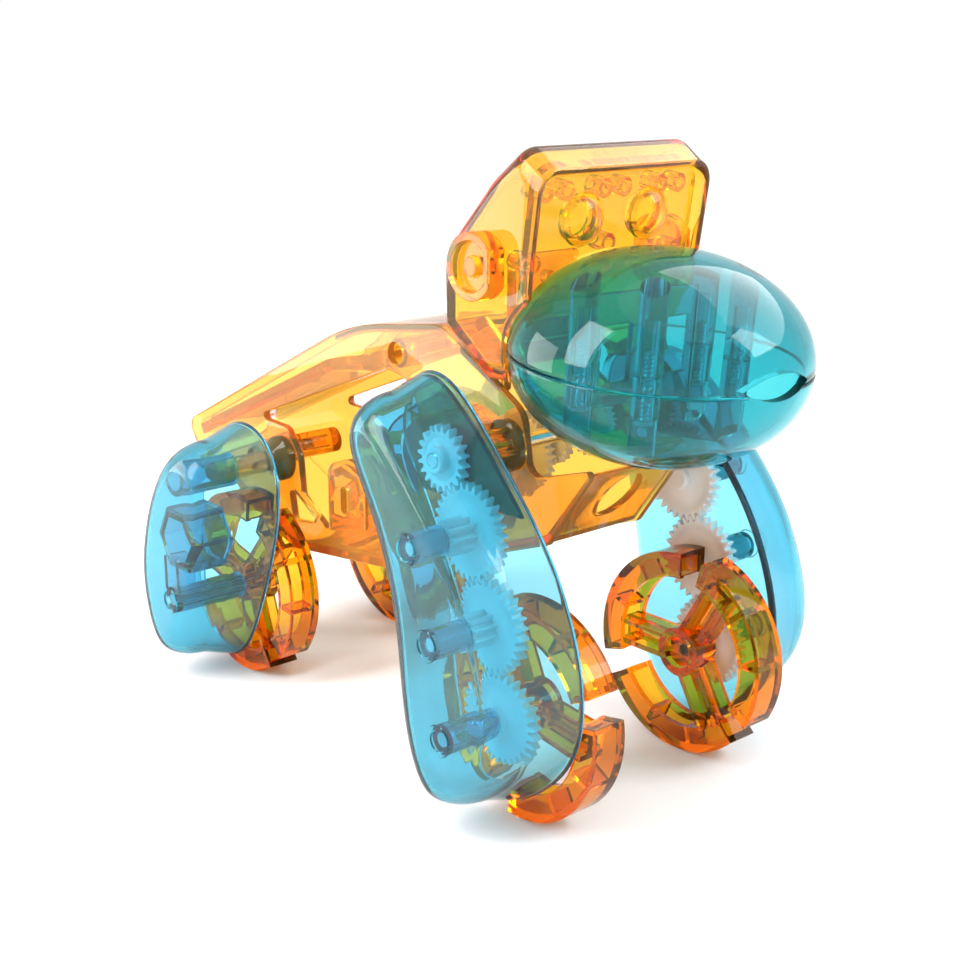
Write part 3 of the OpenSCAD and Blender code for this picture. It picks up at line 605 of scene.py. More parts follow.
def gear_plastic(name, colour):
    """White acetal: satin, with a fine moulded grain and faint flow clouding."""
    mat, w = new_material(name)
    place = w.node("ShaderNodeTexCoord", out=3)
    cloud = noise(w, place, 120.0, 3.0)
    grain = noise(w, place, 2600.0, 2.0)
    tone = blend(w, ramp(w, cloud, 0.3, 0.7), scaled(colour, 0.93), colour)
    bump = w.node("ShaderNodeBump", None, {"Strength": 0.12, "Distance": 0.0001, "Height": grain})
    skin = w.node("ShaderNodeBsdfPrincipled", None, {
        "Base Color": tone, "Roughness": ramp(w, cloud, 0.3, 0.7, 0.32, 0.44), "Normal": bump, "IOR": 1.48})
    surface(w, skin)
    return mat


def drawn_steel(name, colour):
    """Drawn steel rod: fine lines along the axle, and small spots of duller metal."""
    mat, w = new_material(name)
    place = w.node("ShaderNodeTexCoord", out=3)
    lines = w.node("ShaderNodeMapping", None, {"Vector": place, "Scale": (60.0, 5200.0, 5200.0)})
    grain = noise(w, lines, 1.0, 2.0)
    spots = noise(w, place, 420.0, 2.0)
    bump = w.node("ShaderNodeBump", None, {"Strength": 0.1, "Distance": 0.00005, "Height": grain})
    skin = w.node("ShaderNodeBsdfPrincipled", None, {
        "Base Color": (*colour, 1), "Metallic": 1.0, "Normal": bump,
        "Roughness": ramp(w, grain, 0.3, 0.7, 0.2, 0.34) + ramp(w, spots, 0.55, 0.75, 0.0, 0.12)})
    surface(w, skin)
    return mat


def dark_plastic(name, colour):
    """Black moulding with a fine matt grain."""
    mat, w = new_material(name)
    place = w.node("ShaderNodeTexCoord", out=3)
    grain = noise(w, place, 1800.0, 3.0)
    bump = w.node("ShaderNodeBump", None, {"Strength": 0.25, "Distance": 0.0001, "Height": grain})
    tone = blend(w, grain, colour, scaled(colour, 1.8))
    skin = w.node("ShaderNodeBsdfPrincipled", None, {
        "Base Color": tone, "Roughness": ramp(w, grain, 0.3, 0.7, 0.45, 0.6), "Normal": bump})
    surface(w, skin)
    return mat


def cell_glaze(name, colour, print_colour, finger=0.0022, line=0.00022, bus=0.0052, bus_half=0.0006):
    """Solar cell under a clear glaze: dark silicon with a faint crystal cloud, and a silver print of fine
    fingers across the slope and two bars along it, all lengths in metres."""
    mat, w = new_material(name)
    place = w.node("ShaderNodeTexCoord", out=3)
    split = w.node("ShaderNodeSeparateXYZ", None, {"Vector": place})
    x, y, z = (Wire(w.tree, split.socket.node.outputs[k]) for k in range(3))
    along = (y * -0.902 + z * 0.431 + 1.0) * (1.0 / finger)
    fingers = w.math("LESS_THAN", w.math("FRACT", along), line / finger)
    bars = w.math("LESS_THAN", w.math("ABSOLUTE", w.math("ABSOLUTE", x) - bus), bus_half)
    silver = w.math("MAXIMUM", fingers, bars)
    cloud = noise(w, place, 160.0, 4.0)
    blue = blend(w, ramp(w, cloud, 0.35, 0.65), colour, scaled(colour, 1.9))
    tone = blend(w, silver, blue, print_colour)
    skin = w.node("ShaderNodeBsdfPrincipled", None, {
        "Base Color": tone, "Roughness": silver * 0.15 + 0.3, "Coat Weight": 1.0, "Coat Roughness": 0.04})
    surface(w, skin)
    return mat


MATERIALS = {}


def finishes():
    """Materials of the toy by slot, made once from the scene's colours."""
    if not MATERIALS:
        c = bpy.context.scene.toy_colours
        for slot, name, skin, tint, depth, clear in (
                # Body plates: milky haze whose skin colour is also a painted sheen of reflected white
                ("amber_plastic", "amber_hazy_sheen", c.body_skin_and_sheen, c.amber, c.amber_depth, 0.88),
                ("amber_head", "amber_light", c.amber_skin, c.amber, c.head_depth, 0.96),
                # Feet: a deeper amber whose darker skin and absorption also paint the shade of their thick
                # edges
                ("amber_foot_shaded", "amber_deep_painted_shade", c.foot_skin_and_shade, c.amber, c.foot_depth_and_shade, 0.975),
                ("teal_plastic", "teal_clear", c.teal_skin, c.teal, c.teal_depth, 0.96),
                ("teal_muzzle", "teal_deep", c.muzzle_skin, c.teal, c.muzzle_depth, 0.965),
                # Shoulder plates: deep teal that also paints the shade at the top of the legs
                ("teal_plate_shaded", "teal_dark_painted_shade", c.muzzle_skin, c.teal, c.plate_depth_and_shade, 1.0)):
            MATERIALS[slot] = clear_plastic(name, tuple(skin), tuple(tint), depth, clear)
        MATERIALS.update(
            gear_plastic=gear_plastic("gear_acetal", tuple(c.gear)),
            steel=drawn_steel("drawn_steel", tuple(c.steel)),
            motor_steel=drawn_steel("plated_can", (0.72, 0.73, 0.74)),
            black_plastic=dark_plastic("black_moulding", (0.02, 0.02, 0.022)),
            cell=cell_glaze("cell_glaze", (0.006, 0.012, 0.055), (0.6, 0.62, 0.65)))
    return MATERIALS


SLOTS = {s["node"]: s["material_slot"] for s in frame["record"]["subparts"]}


# Mouldings whose plastic looks lighter or deeper than the rest of its slot, by the start of their names. The
# feet and the shoulder plates are deeper partly as painted shade.
TINTS = {"head_": "amber_head", "face_": "amber_head", "eye_": "amber_head", "ear_": "amber_head",
         "front_foot": "amber_foot_shaded", "rear_foot": "amber_foot_shaded", "muzzle_upper": "teal_muzzle",
         "muzzle_lower": "teal_muzzle", "shoulder_plate": "teal_plate_shaded", "idler_pins": "gear_plastic"}


def dress(obj, node):
    """Gives a piece its slot, its tint of the slot's material and its body, in place of a frame node."""
    slot = SLOTS[node]
    tint = next((t for start, t in TINTS.items() if node.startswith(start)), slot)
    obj.data.materials.clear()
    obj.data.materials.append(finishes()[tint])
    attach(obj, frame["nodes"][node]["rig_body"])
    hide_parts(node)
    return obj


def dressed(node, shape, degrees=32):
    """Finished piece for a frame node from a shape, with edges sharper than an angle left sharp."""
    return dress(shade(mesh_object(node + "_piece", shape), degrees), node)


# Settings

def colour(name, description, default):
    return FloatVectorProperty(name=name, description=description, default=default, subtype="COLOR", min=0,
                               max=1)


def depth(name, description, default):
    return FloatProperty(name=name, description=description + " per metre", default=default, min=0)


class ToyColours(bpy.types.PropertyGroup):
    """Colours and absorptions of the toy's plastics, and the colour of its metal."""
    amber: colour("Amber", "Colour that the amber plastic lets through", (0.996, 0.82, 0.0))
    amber_depth: depth("Amber depth", "Absorption of the amber plastic", 420.0)
    head_depth: depth("Head depth", "Absorption of the lighter amber of the head", 620.0)
    # The feet's deeper absorption and darker skin are partly a deeper amber and partly painted shade
    foot_depth_and_shade: depth("Foot depth", "Absorption of the deeper amber of the feet", 900.0)
    foot_skin_and_shade: colour("Foot skin", "Colour that the feet scatter", (0.93, 0.62, 0.12))
    # The body's skin colour is partly real haze and partly painted sheen of reflected white
    body_skin_and_sheen: colour("Body skin", "Colour that the hazier plates of the body scatter", (1.0, 0.68, 0.22))
    amber_skin: colour("Head skin", "Colour that the head's amber skin scatters", (1.0, 0.91, 0.36))
    teal: colour("Teal", "Colour that the teal plastic lets through", (0.0, 0.73, 0.775))
    teal_depth: depth("Teal depth", "Absorption of the teal plastic", 480.0)
    # The shoulder plates' deep absorption partly paints the shade at the top of the legs
    plate_depth_and_shade: depth("Plate depth", "Absorption of the dark teal shoulder plates", 1800.0)
    muzzle_depth: depth("Muzzle depth", "Absorption of the deeper teal of the muzzle", 380.0)
    muzzle_skin: colour("Muzzle skin", "Colour that the muzzle's skin scatters", (0.2, 0.75, 0.79))
    teal_skin: colour("Teal skin", "Colour that the teal skin scatters", (0.62, 0.87, 1.0))
    gear: colour("Gears", "Colour of the gears", (0.86, 0.87, 0.88))
    steel: colour("Steel", "Colour of axles and screws", (0.66, 0.67, 0.69))


# Pieces

class TOY_OT_leg_shells(bpy.types.Operator):
    """Hollow teal legs with bosses for the axles, and sockets in the rear ones"""
    bl_idname = "toy.leg_shells"
    bl_label = "Leg shells"

    def execute(self, context):
        idler, foot, hip, hexagon = GEAR_FACE + 8.3, GEAR_FACE + 4.0, LEG_RIM + 1.4, CROWN_X - 11
        crown_in = CROWN_X - LEG_WALL
        socket_end = crown_in - hip - 1.6
        ring = [(2.0, -0.6), (3.2, -0.6), (3.2, 0.08), (2.98, 0.3), (2.22, 0.3), (2.0, 0.08)]
        socket = [(2.7, 0.3), (3.0, 0), (3.8, 0), (4.1, 0.3), (4.1, socket_end), (2.7, socket_end)]
        hex_wall = [(5.6, 0.3), (5.9, 0), (7.7, 0), (8.0, 0.3), (8.0, 9.0), (5.6, 9.5)]
        rear_more = [on(revolve(socket, 64), HIP_AXIS, hip), on(revolve(hex_wall, 6), HEX_MID, hexagon)]
        y, z = REAR_AXIS
        rear_more += [block((CROWN_X - 8, y + t, z + 2), (crown_in + 0.5, y + t + 1.2, z + 10))
                      for t in (-3.2, 2.0)]
        front_bosses = (UPPER_AXIS, idler, 1.5), (LOWER_AXIS, idler, 1.5), (FOOT_AXIS, foot, 1.56)
        rear_bosses = (REAR_AXIS, 27.1, 1.5),
        legs = ("front", FRONT_LEG, [], front_bosses), ("rear", REAR_LEG, rear_more, rear_bosses)
        for side, sign in SIDES.items():
            for leg, line, more, bosses in legs:
                node = f"{leg}_leg_shell_{side}"
                posts = [on(revolve(rod(3.0, CROWN_X - 0.9 - x, 0.3), 48), p, x) for p, x, _ in bosses]
                rings = [on(revolve(ring, 48), p, CROWN_X) for p, _, _ in bosses]
                bores = [on(revolve(rod(r, crown_in + 1.2 - x, 0.1), 48), p, x - 1) for p, x, r in bosses]
                obj = mesh_object(node + "_piece", mirrored(dish(line), sign))
                combine(obj, [mirrored(shape, sign) for shape in posts + rings + more], "UNION")
                combine(obj, [mirrored(shape, sign) for shape in bores], "DIFFERENCE")
                shade(obj)
                dress(obj, node)
        return {"FINISHED"}


class TOY_OT_muzzle(bpy.types.Operator):
    """Two clear halves of the egg-shaped muzzle, with posts, a windowed plate between them and the mouth"""
    bl_idname = "toy.muzzle"
    bl_label = "Muzzle"

    def execute(self, context):
        back, wall, gap, lip, post_r = 12.0, 1.8, 0.1, 0.45, 2.6
        plate_y, plate_half, plate_top, plate_low = MUZZLE_POSTS[0][1], 14.3, 12.0, -9.5

        def shell(sign):
            """Turned half shell: outer half ellipse, rounded seam edge, inner half ellipse."""
            a = np.linspace(np.pi / 2, np.arcsin((gap + lip) / MUZZLE_H), 40)
            outer = np.column_stack([MUZZLE_R * np.cos(a), MUZZLE_H * np.sin(a)])
            t = np.linspace(0, -np.pi / 2, 6)[1:]
            edge = outer[-1] + np.column_stack([lip * (np.cos(t) - 1), lip * np.sin(t)])
            b = np.linspace(np.arcsin(gap / (MUZZLE_H - wall)), np.pi / 2, 40)
            inner = np.column_stack([(MUZZLE_R - wall) * np.cos(b), (MUZZLE_H - wall) * np.sin(b)])
            section = np.concatenate([outer, edge, inner])
            section[[0, -1], 0] = 0
            verts, faces = revolve(section * (1, sign), 128)
            return in_muzzle(verts), faces

        def upright(section, x, y):
            """Turned shape on a post's axis, its section given from the seam upwards."""
            verts, faces = revolve(section, 40)
            return in_muzzle(verts + (x, y - MUZZLE_MID[1], 0)), faces

        def window_plate(sign):
            """Comb-shaped half of the plate between the rear posts."""
            low, high = (gap, plate_top) if sign > 0 else (-gap, plate_low)
            sill = 6.2 if sign > 0 else -5.2
            comb = [(-plate_half, low), (-12, low), (-12, sill), (-4, sill), (-4, low), (4, low), (4, sill),
                    (12, sill), (12, low), (plate_half, low), (plate_half, high), (-plate_half, high)]
            verts, faces = plate(outline([(*p, 0.25) for p in comb[::int(sign)]], 4), -0.7, 0.7, 0.2)
            return in_muzzle(verts[:, [1, 0, 2]] + (0, plate_y - MUZZLE_MID[1], 0)), faces

        a = np.linspace(-1, 1, 25)
        mouth_half, mouth_r = 8.79, 17.4
        bow = np.sqrt(mouth_r**2 - (mouth_half * a)**2)
        leaf = np.concatenate([np.column_stack([mouth_half * a, 15.9 - bow]),
                               np.column_stack([-mouth_half * a, -14.1 + bow])[1:-1]])
        ends = [np.column_stack([leaf[:, 0], np.full(len(leaf), y), leaf[:, 1]]) for y in (-40, -18)]
        verts, faces = loft(np.stack(ends))
        mouth = in_muzzle(verts), faces
        for half, sign in (("upper", 1.0), ("lower", -1.0)):
            node = "muzzle_" + half
            rear = mesh_object("rear", egg(-0.6))
            box = block((-60, -60, gap), (60, 60, 60)) if sign > 0 else block((-60, -60, -60), (60, 60, -gap))
            slab = block((-60, back - wall, 20), (60, back + 9, 160))
            combine(rear, [(in_muzzle(box[0]), box[1]), slab], "INTERSECT")
            posts = mesh_object("posts", merged(*(
                upright([(0, sign * gap), (post_r, sign * gap), (post_r, sign * 30), (0, sign * 30)], x, y)
                for x, y in MUZZLE_POSTS)))
            combine(posts, [window_plate(sign)], "UNION")
            combine(posts, [egg(-0.6)], "INTERSECT")
            bores = ((1.1, -1, 10),) if sign > 0 else ((2.1, -40, -8), (1.3, -9, 1))
            holes = [upright([(0, low), (r, low), (r, high), (0, high)], x, y)
                     for r, low, high in bores for x, y in MUZZLE_POSTS]
            obj = mesh_object(node + "_piece", shell(sign))
            combine(obj, [rear, posts], "UNION")
            combine(obj, [block((-60, -80, 20), (60, back, 160))], "INTERSECT")
            combine(obj, [mouth] + holes, "DIFFERENCE")
            shade(cleaned(obj))
            dress(obj, node)
        return {"FINISHED"}


class TOY_OT_gears(bpy.types.Operator):
    """White gears of the legs and of the reduction in the body"""
    bl_idname = "toy.gears"
    bl_label = "Gears"

    def execute(self, context):
        top = heading(DRIVE_AXIS, UPPER_AXIS)
        upper = mesh_turn(DRIVE_AXIS, top, 20, UPPER_AXIS, 30)
        lower = mesh_turn(UPPER_AXIS, upper, 30, LOWER_AXIS, 30)
        foot = mesh_turn(LOWER_AXIS, lower, 30, FOOT_AXIS, 30)
        b, thick, sharp = 0.16, 2.0, 40

        def toothed(thick):
            """Rim of teeth with rounded edges."""
            return [("teeth", b, 0.0), ("teeth", 0.0, b), ("teeth", 0.0, thick - b), ("teeth", b, thick)]

        def disc(bore, web, root):
            """Wheel with rounded teeth and a shallow dished web between hub and rim."""
            return [("round", bore, 0.0), ("round", web, 0.0), ("round", web + 0.4, 0.3),
                    ("round", root - 0.5, 0.3), ("round", root - 0.1, 0.0), *toothed(thick),
                    ("round", root - 0.1, thick), ("round", root - 0.5, thick - 0.3),
                    ("round", web + 0.4, thick - 0.3), ("round", web, thick)]

        def hub(bore):
            return [("round", 2.6, thick), ("round", 2.6, 3.4), ("round", 2.3, 3.7),
                    ("round", bore + 0.2, 3.7), ("round", bore, 3.5)]

        def pinion(bore):
            return [("pinion", 0.0, thick), ("pinion", 0.0, 7.75), ("pinion", 0.25, 8.0),
                    ("round", bore + 0.2, 8.0), ("round", bore, 7.8)]

        for side, sign in SIDES.items():
            for node, axis, teeth, turn, bore, end in (
                    ("top_gear", DRIVE_AXIS, 20, top, 1.5, hub),
                    ("upper_idler", UPPER_AXIS, 30, upper, 1.56, pinion),
                    ("lower_idler", LOWER_AXIS, 30, lower, 1.56, pinion),
                    ("foot_gear", FOOT_AXIS, 30, foot, 1.5, hub)):
                root = teeth * 0.3 - 1.4
                verts, faces = gear(teeth, LEG_MODULE, disc(bore, 3.8, root) + end(bore), turn)
                dressed(f"{node}_{side}", (on_axis(verts, axis, sign, GEAR_FACE), faces), sharp)

        tooth = dict(addendum=0.8, angle=25.0)
        axle = heading(DRIVE_AXIS, SECOND_AXIS)
        second = mesh_turn(DRIVE_AXIS, axle, 22, SECOND_AXIS, 10)
        first = mesh_turn(SECOND_AXIS, second, 22, FIRST_AXIS, 10)
        motor = mesh_turn(FIRST_AXIS, first, 36, MOTOR_AXIS, 10)

        def wheel(bore, thick):
            return [("round", bore, 0.0), *toothed(thick)]

        def stepped(bore, end):
            return [*wheel(bore, thick), ("pinion", 0.0, thick), ("pinion", 0.0, end - 0.2),
                    ("pinion", 0.2, end), ("round", bore, end)]

        for node, axis, teeth, turn, rows, x in (
                ("axle_gear", DRIVE_AXIS, 22, axle, wheel(1.5, 2.4) + [("round", 1.5, 2.4)], 7.8),
                ("reduction_gear_second", SECOND_AXIS, 22, second, stepped(1.06, 5.8), 5.0),
                ("reduction_gear_first", FIRST_AXIS, 36, first, stepped(1.06, 5.4), 2.2)):
            dressed(node, on(gear(teeth, BODY_MODULE, rows, turn, **tooth), axis, x), sharp)
        wheel_rows = wheel(1.0, 3.4) + [("round", 1.0, 3.4)]
        small = on(gear(PINION_TEETH, BODY_MODULE, wheel_rows, motor, **tooth), MOTOR_AXIS, 1.5)
        shaft = on(revolve(rod(1.0, 11.0), 32), MOTOR_AXIS, -5.2)
        dressed("motor_pinion", merged(small, shaft), sharp)
        return {"FINISHED"}


class TOY_OT_feet(bpy.types.Operator):
    """Clear feet: three hollow curved pads on spokes round a hub"""
    bl_idname = "toy.feet"
    bl_label = "Feet"

    def execute(self, context):
        foot_r, pad_r, width, flange, tread, rib = 21.8, 16.4, 7.6, 1.3, 1.5, 1.2
        start, arc, end = -15.0, 105.0, 2.1
        section = [(pad_r, 0), (foot_r, 0), (foot_r, width), (pad_r, width), (pad_r, width - flange),
                   (foot_r - tread, width - flange), (foot_r - tread, flange), (pad_r, flange)]
        thirds = (0, 120, 240)
        pads = merged(*(swept_arc(section, start + t, arc) for t in thirds))
        rib_box = block((pad_r + 0.3, -rib / 2, flange / 2), (foot_r - 0.7, rib / 2, width - flange / 2))
        cells = 3
        span = arc - 2 * end
        ribs = [spun(rib_box, start + end + i * span / cells + t) for t in thirds for i in range(cells + 1)]
        near, far, web = 3.4, pad_r + 0.8, 0.7
        cheeks = [spun(block((near, y, web), (far, y + rib, width - web)), t)
                  for t in thirds for y in (-2.9, 1.7)]
        webs = [spun(block((near, -2.3, width / 2 - web), (far, 2.3, width / 2 + web)), t) for t in thirds]
        hub_r, hub_rim, dent_r = 5.3, 1.4, 3.5
        hub = revolve([(0, 0), (hub_r, 0), (hub_r, hub_rim), (4.2, width), (0, width)], 64)
        dent = revolve([(0, -1), (dent_r, -1), (dent_r, hub_rim), (0, hub_rim)], 64)
        for node, spoke in FOOT_TURN.items():
            front = node.startswith("front")
            axis, sign = (FOOT_AXIS if front else REAR_AXIS), SIDES[node.split("_")[-1]]
            bore, bore_from = (AXLE_R, 2.6) if front else (1.56, -1)
            hole = revolve([(0, bore_from), (bore, bore_from), (bore, width + 1), (0, width + 1)], 48)

            def set_in(shape):
                verts, faces = spun(shape, 180 - spoke)
                return on_axis(verts, axis, sign, FOOT_IN), faces

            obj = mesh_object(node + "_piece", set_in(pads))
            combine(obj, [set_in(s) for s in (*ribs, *cheeks, *webs, hub)], "UNION")
            combine(obj, [set_in(s) for s in (dent, hole)], "DIFFERENCE")
            shade(rounded(cleaned(obj), 0.22))
            applied(obj)
            dress(obj, node)
        return {"FINISHED"}


class TOY_OT_pins(bpy.types.Operator):
    """Steel axles, gear pins and screws, and the pegs that carry the rear legs"""
    bl_idname = "toy.pins"
    bl_label = "Axles, pins and screws"

    def execute(self, context):
        def place(node, shapes):
            dressed(node, merged(*shapes))

        def along(section, axis, sign, x):
            verts, faces = revolve(section, 48)
            return on_axis(verts, axis, sign, x), faces

        drive_half, rear_in = 32.8, 17.9
        place("drive_axle", [along(rod(AXLE_R, 2 * drive_half), DRIVE_AXIS, 1.0, -drive_half)])
        caps = []
        pin = [(0, 0), (2.1, 0), (2.5, 0.4), (2.5, 1.3), (1.5, 1.3), (1.5, 9.6), (1.53, 9.8), (1.53, 16.1),
               (1.2, 16.4), (0, 16.4)]
        clip = [(AXLE_R, 0), (2.7, 0), (3.0, 0.3), (3.0, 1.2), (AXLE_R, 1.2)]
        peg = [(0, 0), (5.1, 0), (5.4, 0.3), (5.4, 2), (2.6, 4.4), (2.6, 20.0), (1.8, 20.8), (0, 20.8)]
        for side, sign in SIDES.items():
            place("front_axle_" + side, [along(rod(AXLE_R, 15.8), FOOT_AXIS, sign, FOOT_IN + 2.6)])
            place("rear_axle_" + side, [along(rod(AXLE_R, 26.2), REAR_AXIS, sign, rear_in)])
            caps.append(along(clip, REAR_AXIS, sign, rear_in))
            place("idler_pins_" + side, [along(pin, axis, sign, 27.7) for axis in (UPPER_AXIS, LOWER_AXIS)])
            place("hip_peg_" + side, [along(peg, HIP_AXIS, sign, SIDE_OUT)])
        place("rear_axle_caps", caps)
        place("reduction_pins", [along(rod(1.0, 10.1), FIRST_AXIS, 1.0, 1.6),
                                 along(rod(1.0, 7.1), SECOND_AXIS, 1.0, 4.6)])
        head = -8.0
        verts, faces = screw(1.9, 1.05, 13.0)
        place("muzzle_screws", [(in_muzzle(verts + (x, y - MUZZLE_MID[1], head)), faces)
                                for x, y in MUZZLE_POSTS])
        verts, faces = screw(2.3, 1.2, 13.0)
        place("body_screws", [(verts[:, [2, 0, 1]] + (head, y, z), faces) for y, z in BODY_POSTS])
        return {"FINISHED"}


class TOY_OT_eyes(bpy.types.Operator):
    """Domed eyes with a skirt that plugs the face"""
    bl_idname = "toy.eyes"
    bl_label = "Eyes"

    def execute(self, context):
        radius, dome, thick, apart = 5.2, 3.0, 1.3, 8.7
        skirt_r, skirt_in, skirt_end = 4.55, 3.4, 2.4
        ball = (radius**2 + dome**2) / 2 / dome
        outer = np.linspace(0, np.arcsin(radius / ball), 24)
        inner = np.linspace(np.arcsin(skirt_in / (ball - thick)), 0, 20)
        mid = ball - dome
        section = np.concatenate([
            np.column_stack([ball * np.sin(outer), mid - ball * np.cos(outer)]),
            [(radius - 0.1, 0.15), (skirt_r, 0.15), (skirt_r, skirt_end), (skirt_in, skirt_end)],
            np.column_stack([(ball - thick) * np.sin(inner), mid - (ball - thick) * np.cos(inner)])])
        section[[0, -1], 0] = 0
        verts, faces = revolve(section, 64)
        for side, sign in SIDES.items():
            stood = turned(verts + (apart * sign, 0, 1.4), FACE_LEAN - 90, np.zeros(3)) + FACE_PIVOT
            dressed("eye_" + side, (stood, faces))
        return {"FINISHED"}


class TOY_OT_body(bpy.types.Operator):
    """Flat clear sides of the body, with windows, lugs, rails and screw posts"""
    bl_idname = "toy.body"
    bl_label = "Body sides"

    def execute(self, context):
        inner, outer, flange = SIDE_IN, SIDE_OUT, 2.2
        top = path([(139.2, 53.18, 0), (70, 86.4, 70), (38.5, 90.6, 9), (34, 88.1, 0)], 24)
        rail = np.concatenate([top, inset(top[::-1], [-2.0], False)[0]])
        pad = outline([(78.6, 40, 1), (78.6, 51, 5), (71.3, 54.6, 5), (64.2, 51.6, 4), (64.2, 40, 1)])
        slot = outline([(73.6, 42.4, 1), (73.6, 48.6, 1.1), (71.3, 48.6, 1.1), (71.3, 42.4, 1)], 8)
        posts = [on(revolve(rod(3.2, inner, 0.2), 48), p, 0.05) for p in BODY_POSTS]
        more = [plate(rail, inner - flange, inner + 0.2), plate(pad, outer - 1.0, outer + 0.8)] + posts
        cuts = [opening(outline(line), inner, outer) for line in (WINDOW_LINE, GUSSET_LINE)]
        cuts += [opening(slot, outer - 1.6, outer + 0.8, 0.25),
                 on(revolve(rod(1.56, 30, 0.1), 48), DRIVE_AXIS, -1)]
        pilot = [on(revolve(rod(1.25, 10, 0.1), 32), p, -1) for p in BODY_POSTS]
        through = [on(revolve(rod(r, long, 0.1), 48), p, x)
                   for p in BODY_POSTS for r, long, x in ((1.35, 12, -1), (2.5, 10, 8))]
        for name, sign in SIDES.items():
            node = "body_side_" + name
            obj = mesh_object(node + "_piece", mirrored(plate(outline(SIDE_LINE, 16), inner, outer), sign))
            combine(obj, [mirrored(c, sign) for c in cuts[:2]], "DIFFERENCE")
            combine(obj, [mirrored(c, sign) for c in more], "UNION")
            bores = through if name == "right" else pilot
            combine(obj, [mirrored(c, sign) for c in cuts[2:] + bores], "DIFFERENCE")
            shade(cleaned(obj))
            dress(obj, node)
        return {"FINISHED"}


class TOY_OT_under_plates(bpy.types.Operator):
    """Plates under the belly and in the prow, which follow the lower edge of the body sides"""
    bl_idname = "toy.under_plates"
    bl_label = "Belly and chest"

    def execute(self, context):
        half, wall = 11.65, 1.8
        low = path([(54.2, 33.18, 0), (96, 28.2, 16), (135.6, 44.42, 0)], 24)
        strip = np.concatenate([low, inset(low, [wall], False)[0][::-1]])
        belly = mesh_object("belly_plate_piece", plate(strip, -half, half))
        combine(belly, [block((-6, y, 20), (6, y + 3, 45)) for y in (62, 70, 78)], "DIFFERENCE")
        prow = outline([(-4, 67.4, 0.4), (-5.6, 67.4, 0.4), (6.3, 51.3, 1.5), (51, 34.8, 6),
                        (53.9, 34.1, 0.4), (53.9, 35.9, 0.4), (51.6, 36.6, 4), (7.4, 52.8, 1.2)], 8)
        chest = mesh_object("chest_plate_piece", plate(prow, -half, half))
        verts, faces = revolve(rod(5.0, 18, 0.1), 48)
        combine(chest, [(verts[:, [0, 2, 1]] + (0, -12, 60.5), faces)], "DIFFERENCE")
        for obj, node in ((belly, "belly_plate"), (chest, "chest_plate")):
            shade(cleaned(obj))
            dress(obj, node)
        return {"FINISHED"}


class TOY_OT_head(bpy.types.Operator):
    """Hollow head: rings that lean with the face and shrink to its flat back"""
    bl_idname = "toy.head"
    bl_label = "Head"

    def execute(self, context):
        wall, steps = 1.8, 20
        top_line = path([(-0.9, 124.2, 0), (4.8, 128.3, 2.6), (12.6, 122.6, 14), (25.8, 108, 10),
                         (25.8, 102, 0)], steps)
        low_line = path([(5.2, 84.3, 0), (9, 84.1, 9), (15, 84.3, 2.6), (25.8, 93.2, 2.5),
                         (25.8, 96, 0)], steps)

        def rings(d):
            """Closed rings of the head from its front to its back, moved inwards by d."""
            made = []
            tops, lows = inset(top_line, [-d], False)[0], inset(low_line, [d], False)[0]
            late = np.clip((np.arange(len(tops)) - 2 * steps - 3) / steps, 0, 1)
            sides = 23.0 - d - 4.0 * (1 - np.sqrt(1 - late**2))
            for high, low, side in zip(tops, lows, sides):
                long = np.hypot(*(high - low))
                up = (high - low) / long
                k = min(1.0, long / 24)
                taper, foot_r, brow_r = 0.8 * k, (2.2 - d / 2) * k, (5.0 - d) * k
                bulge, bulge_r = 0.6 * long, 30 * k
                rim = outline([(-side + taper, 0, foot_r), (side - taper, 0, foot_r), (side, bulge, bulge_r),
                               (side, long, brow_r), (-side, long, brow_r), (-side, bulge, bulge_r)], 10)
                made.append(np.column_stack([rim[:, 0], low + rim[:, 1:] * up]))
            return np.array(made)

        outer, inner = rings(0.0), rings(wall)
        lip = np.linspace(0, np.pi, 7)[1:-1, None, None]
        front = (outer[0] + inner[0]) / 2
        ahead = np.array([0, -np.cos(np.radians(FACE_LEAN)), -np.sin(np.radians(FACE_LEAN))])
        turn = front + (outer[0] - inner[0]) / 2 * np.cos(lip) + 0.5 * wall * np.sin(lip) * ahead
        shape = loft(np.concatenate([outer[::-1], turn, inner]))
        obj = mesh_object("head_shell_piece", shape)
        ears = [((np.asarray(v) @ np.array([[0, 0, -1], [0, 1, 0], [1, 0, 0]])) + (x, 13.2, 106), f)
                for x in (-27, 11) for v, f in [revolve(rod(1.5, 16, 0.1), 40)]]
        combine(obj, [egg(0.5), block((-12.1, 16, 80), (12.1, 28, 93.4))] + ears, "DIFFERENCE")
        shade(cleaned(obj))
        dress(obj, "head_shell")
        return {"FINISHED"}


class TOY_OT_plain_parts(bpy.types.Operator):
    """Plates, brackets and other pieces that keep the frame's shape, with rounded edges"""
    bl_idname = "toy.plain_parts"
    bl_label = "Plates and brackets"

    def execute(self, context):
        for node in frame["nodes"]:
            if frame["nodes"][node].hide_render:
                continue
            obj = node_copy(node)
            shade(rounded(obj, 0.3))
            applied(obj)
            dress(obj, node)
        return {"FINISHED"}


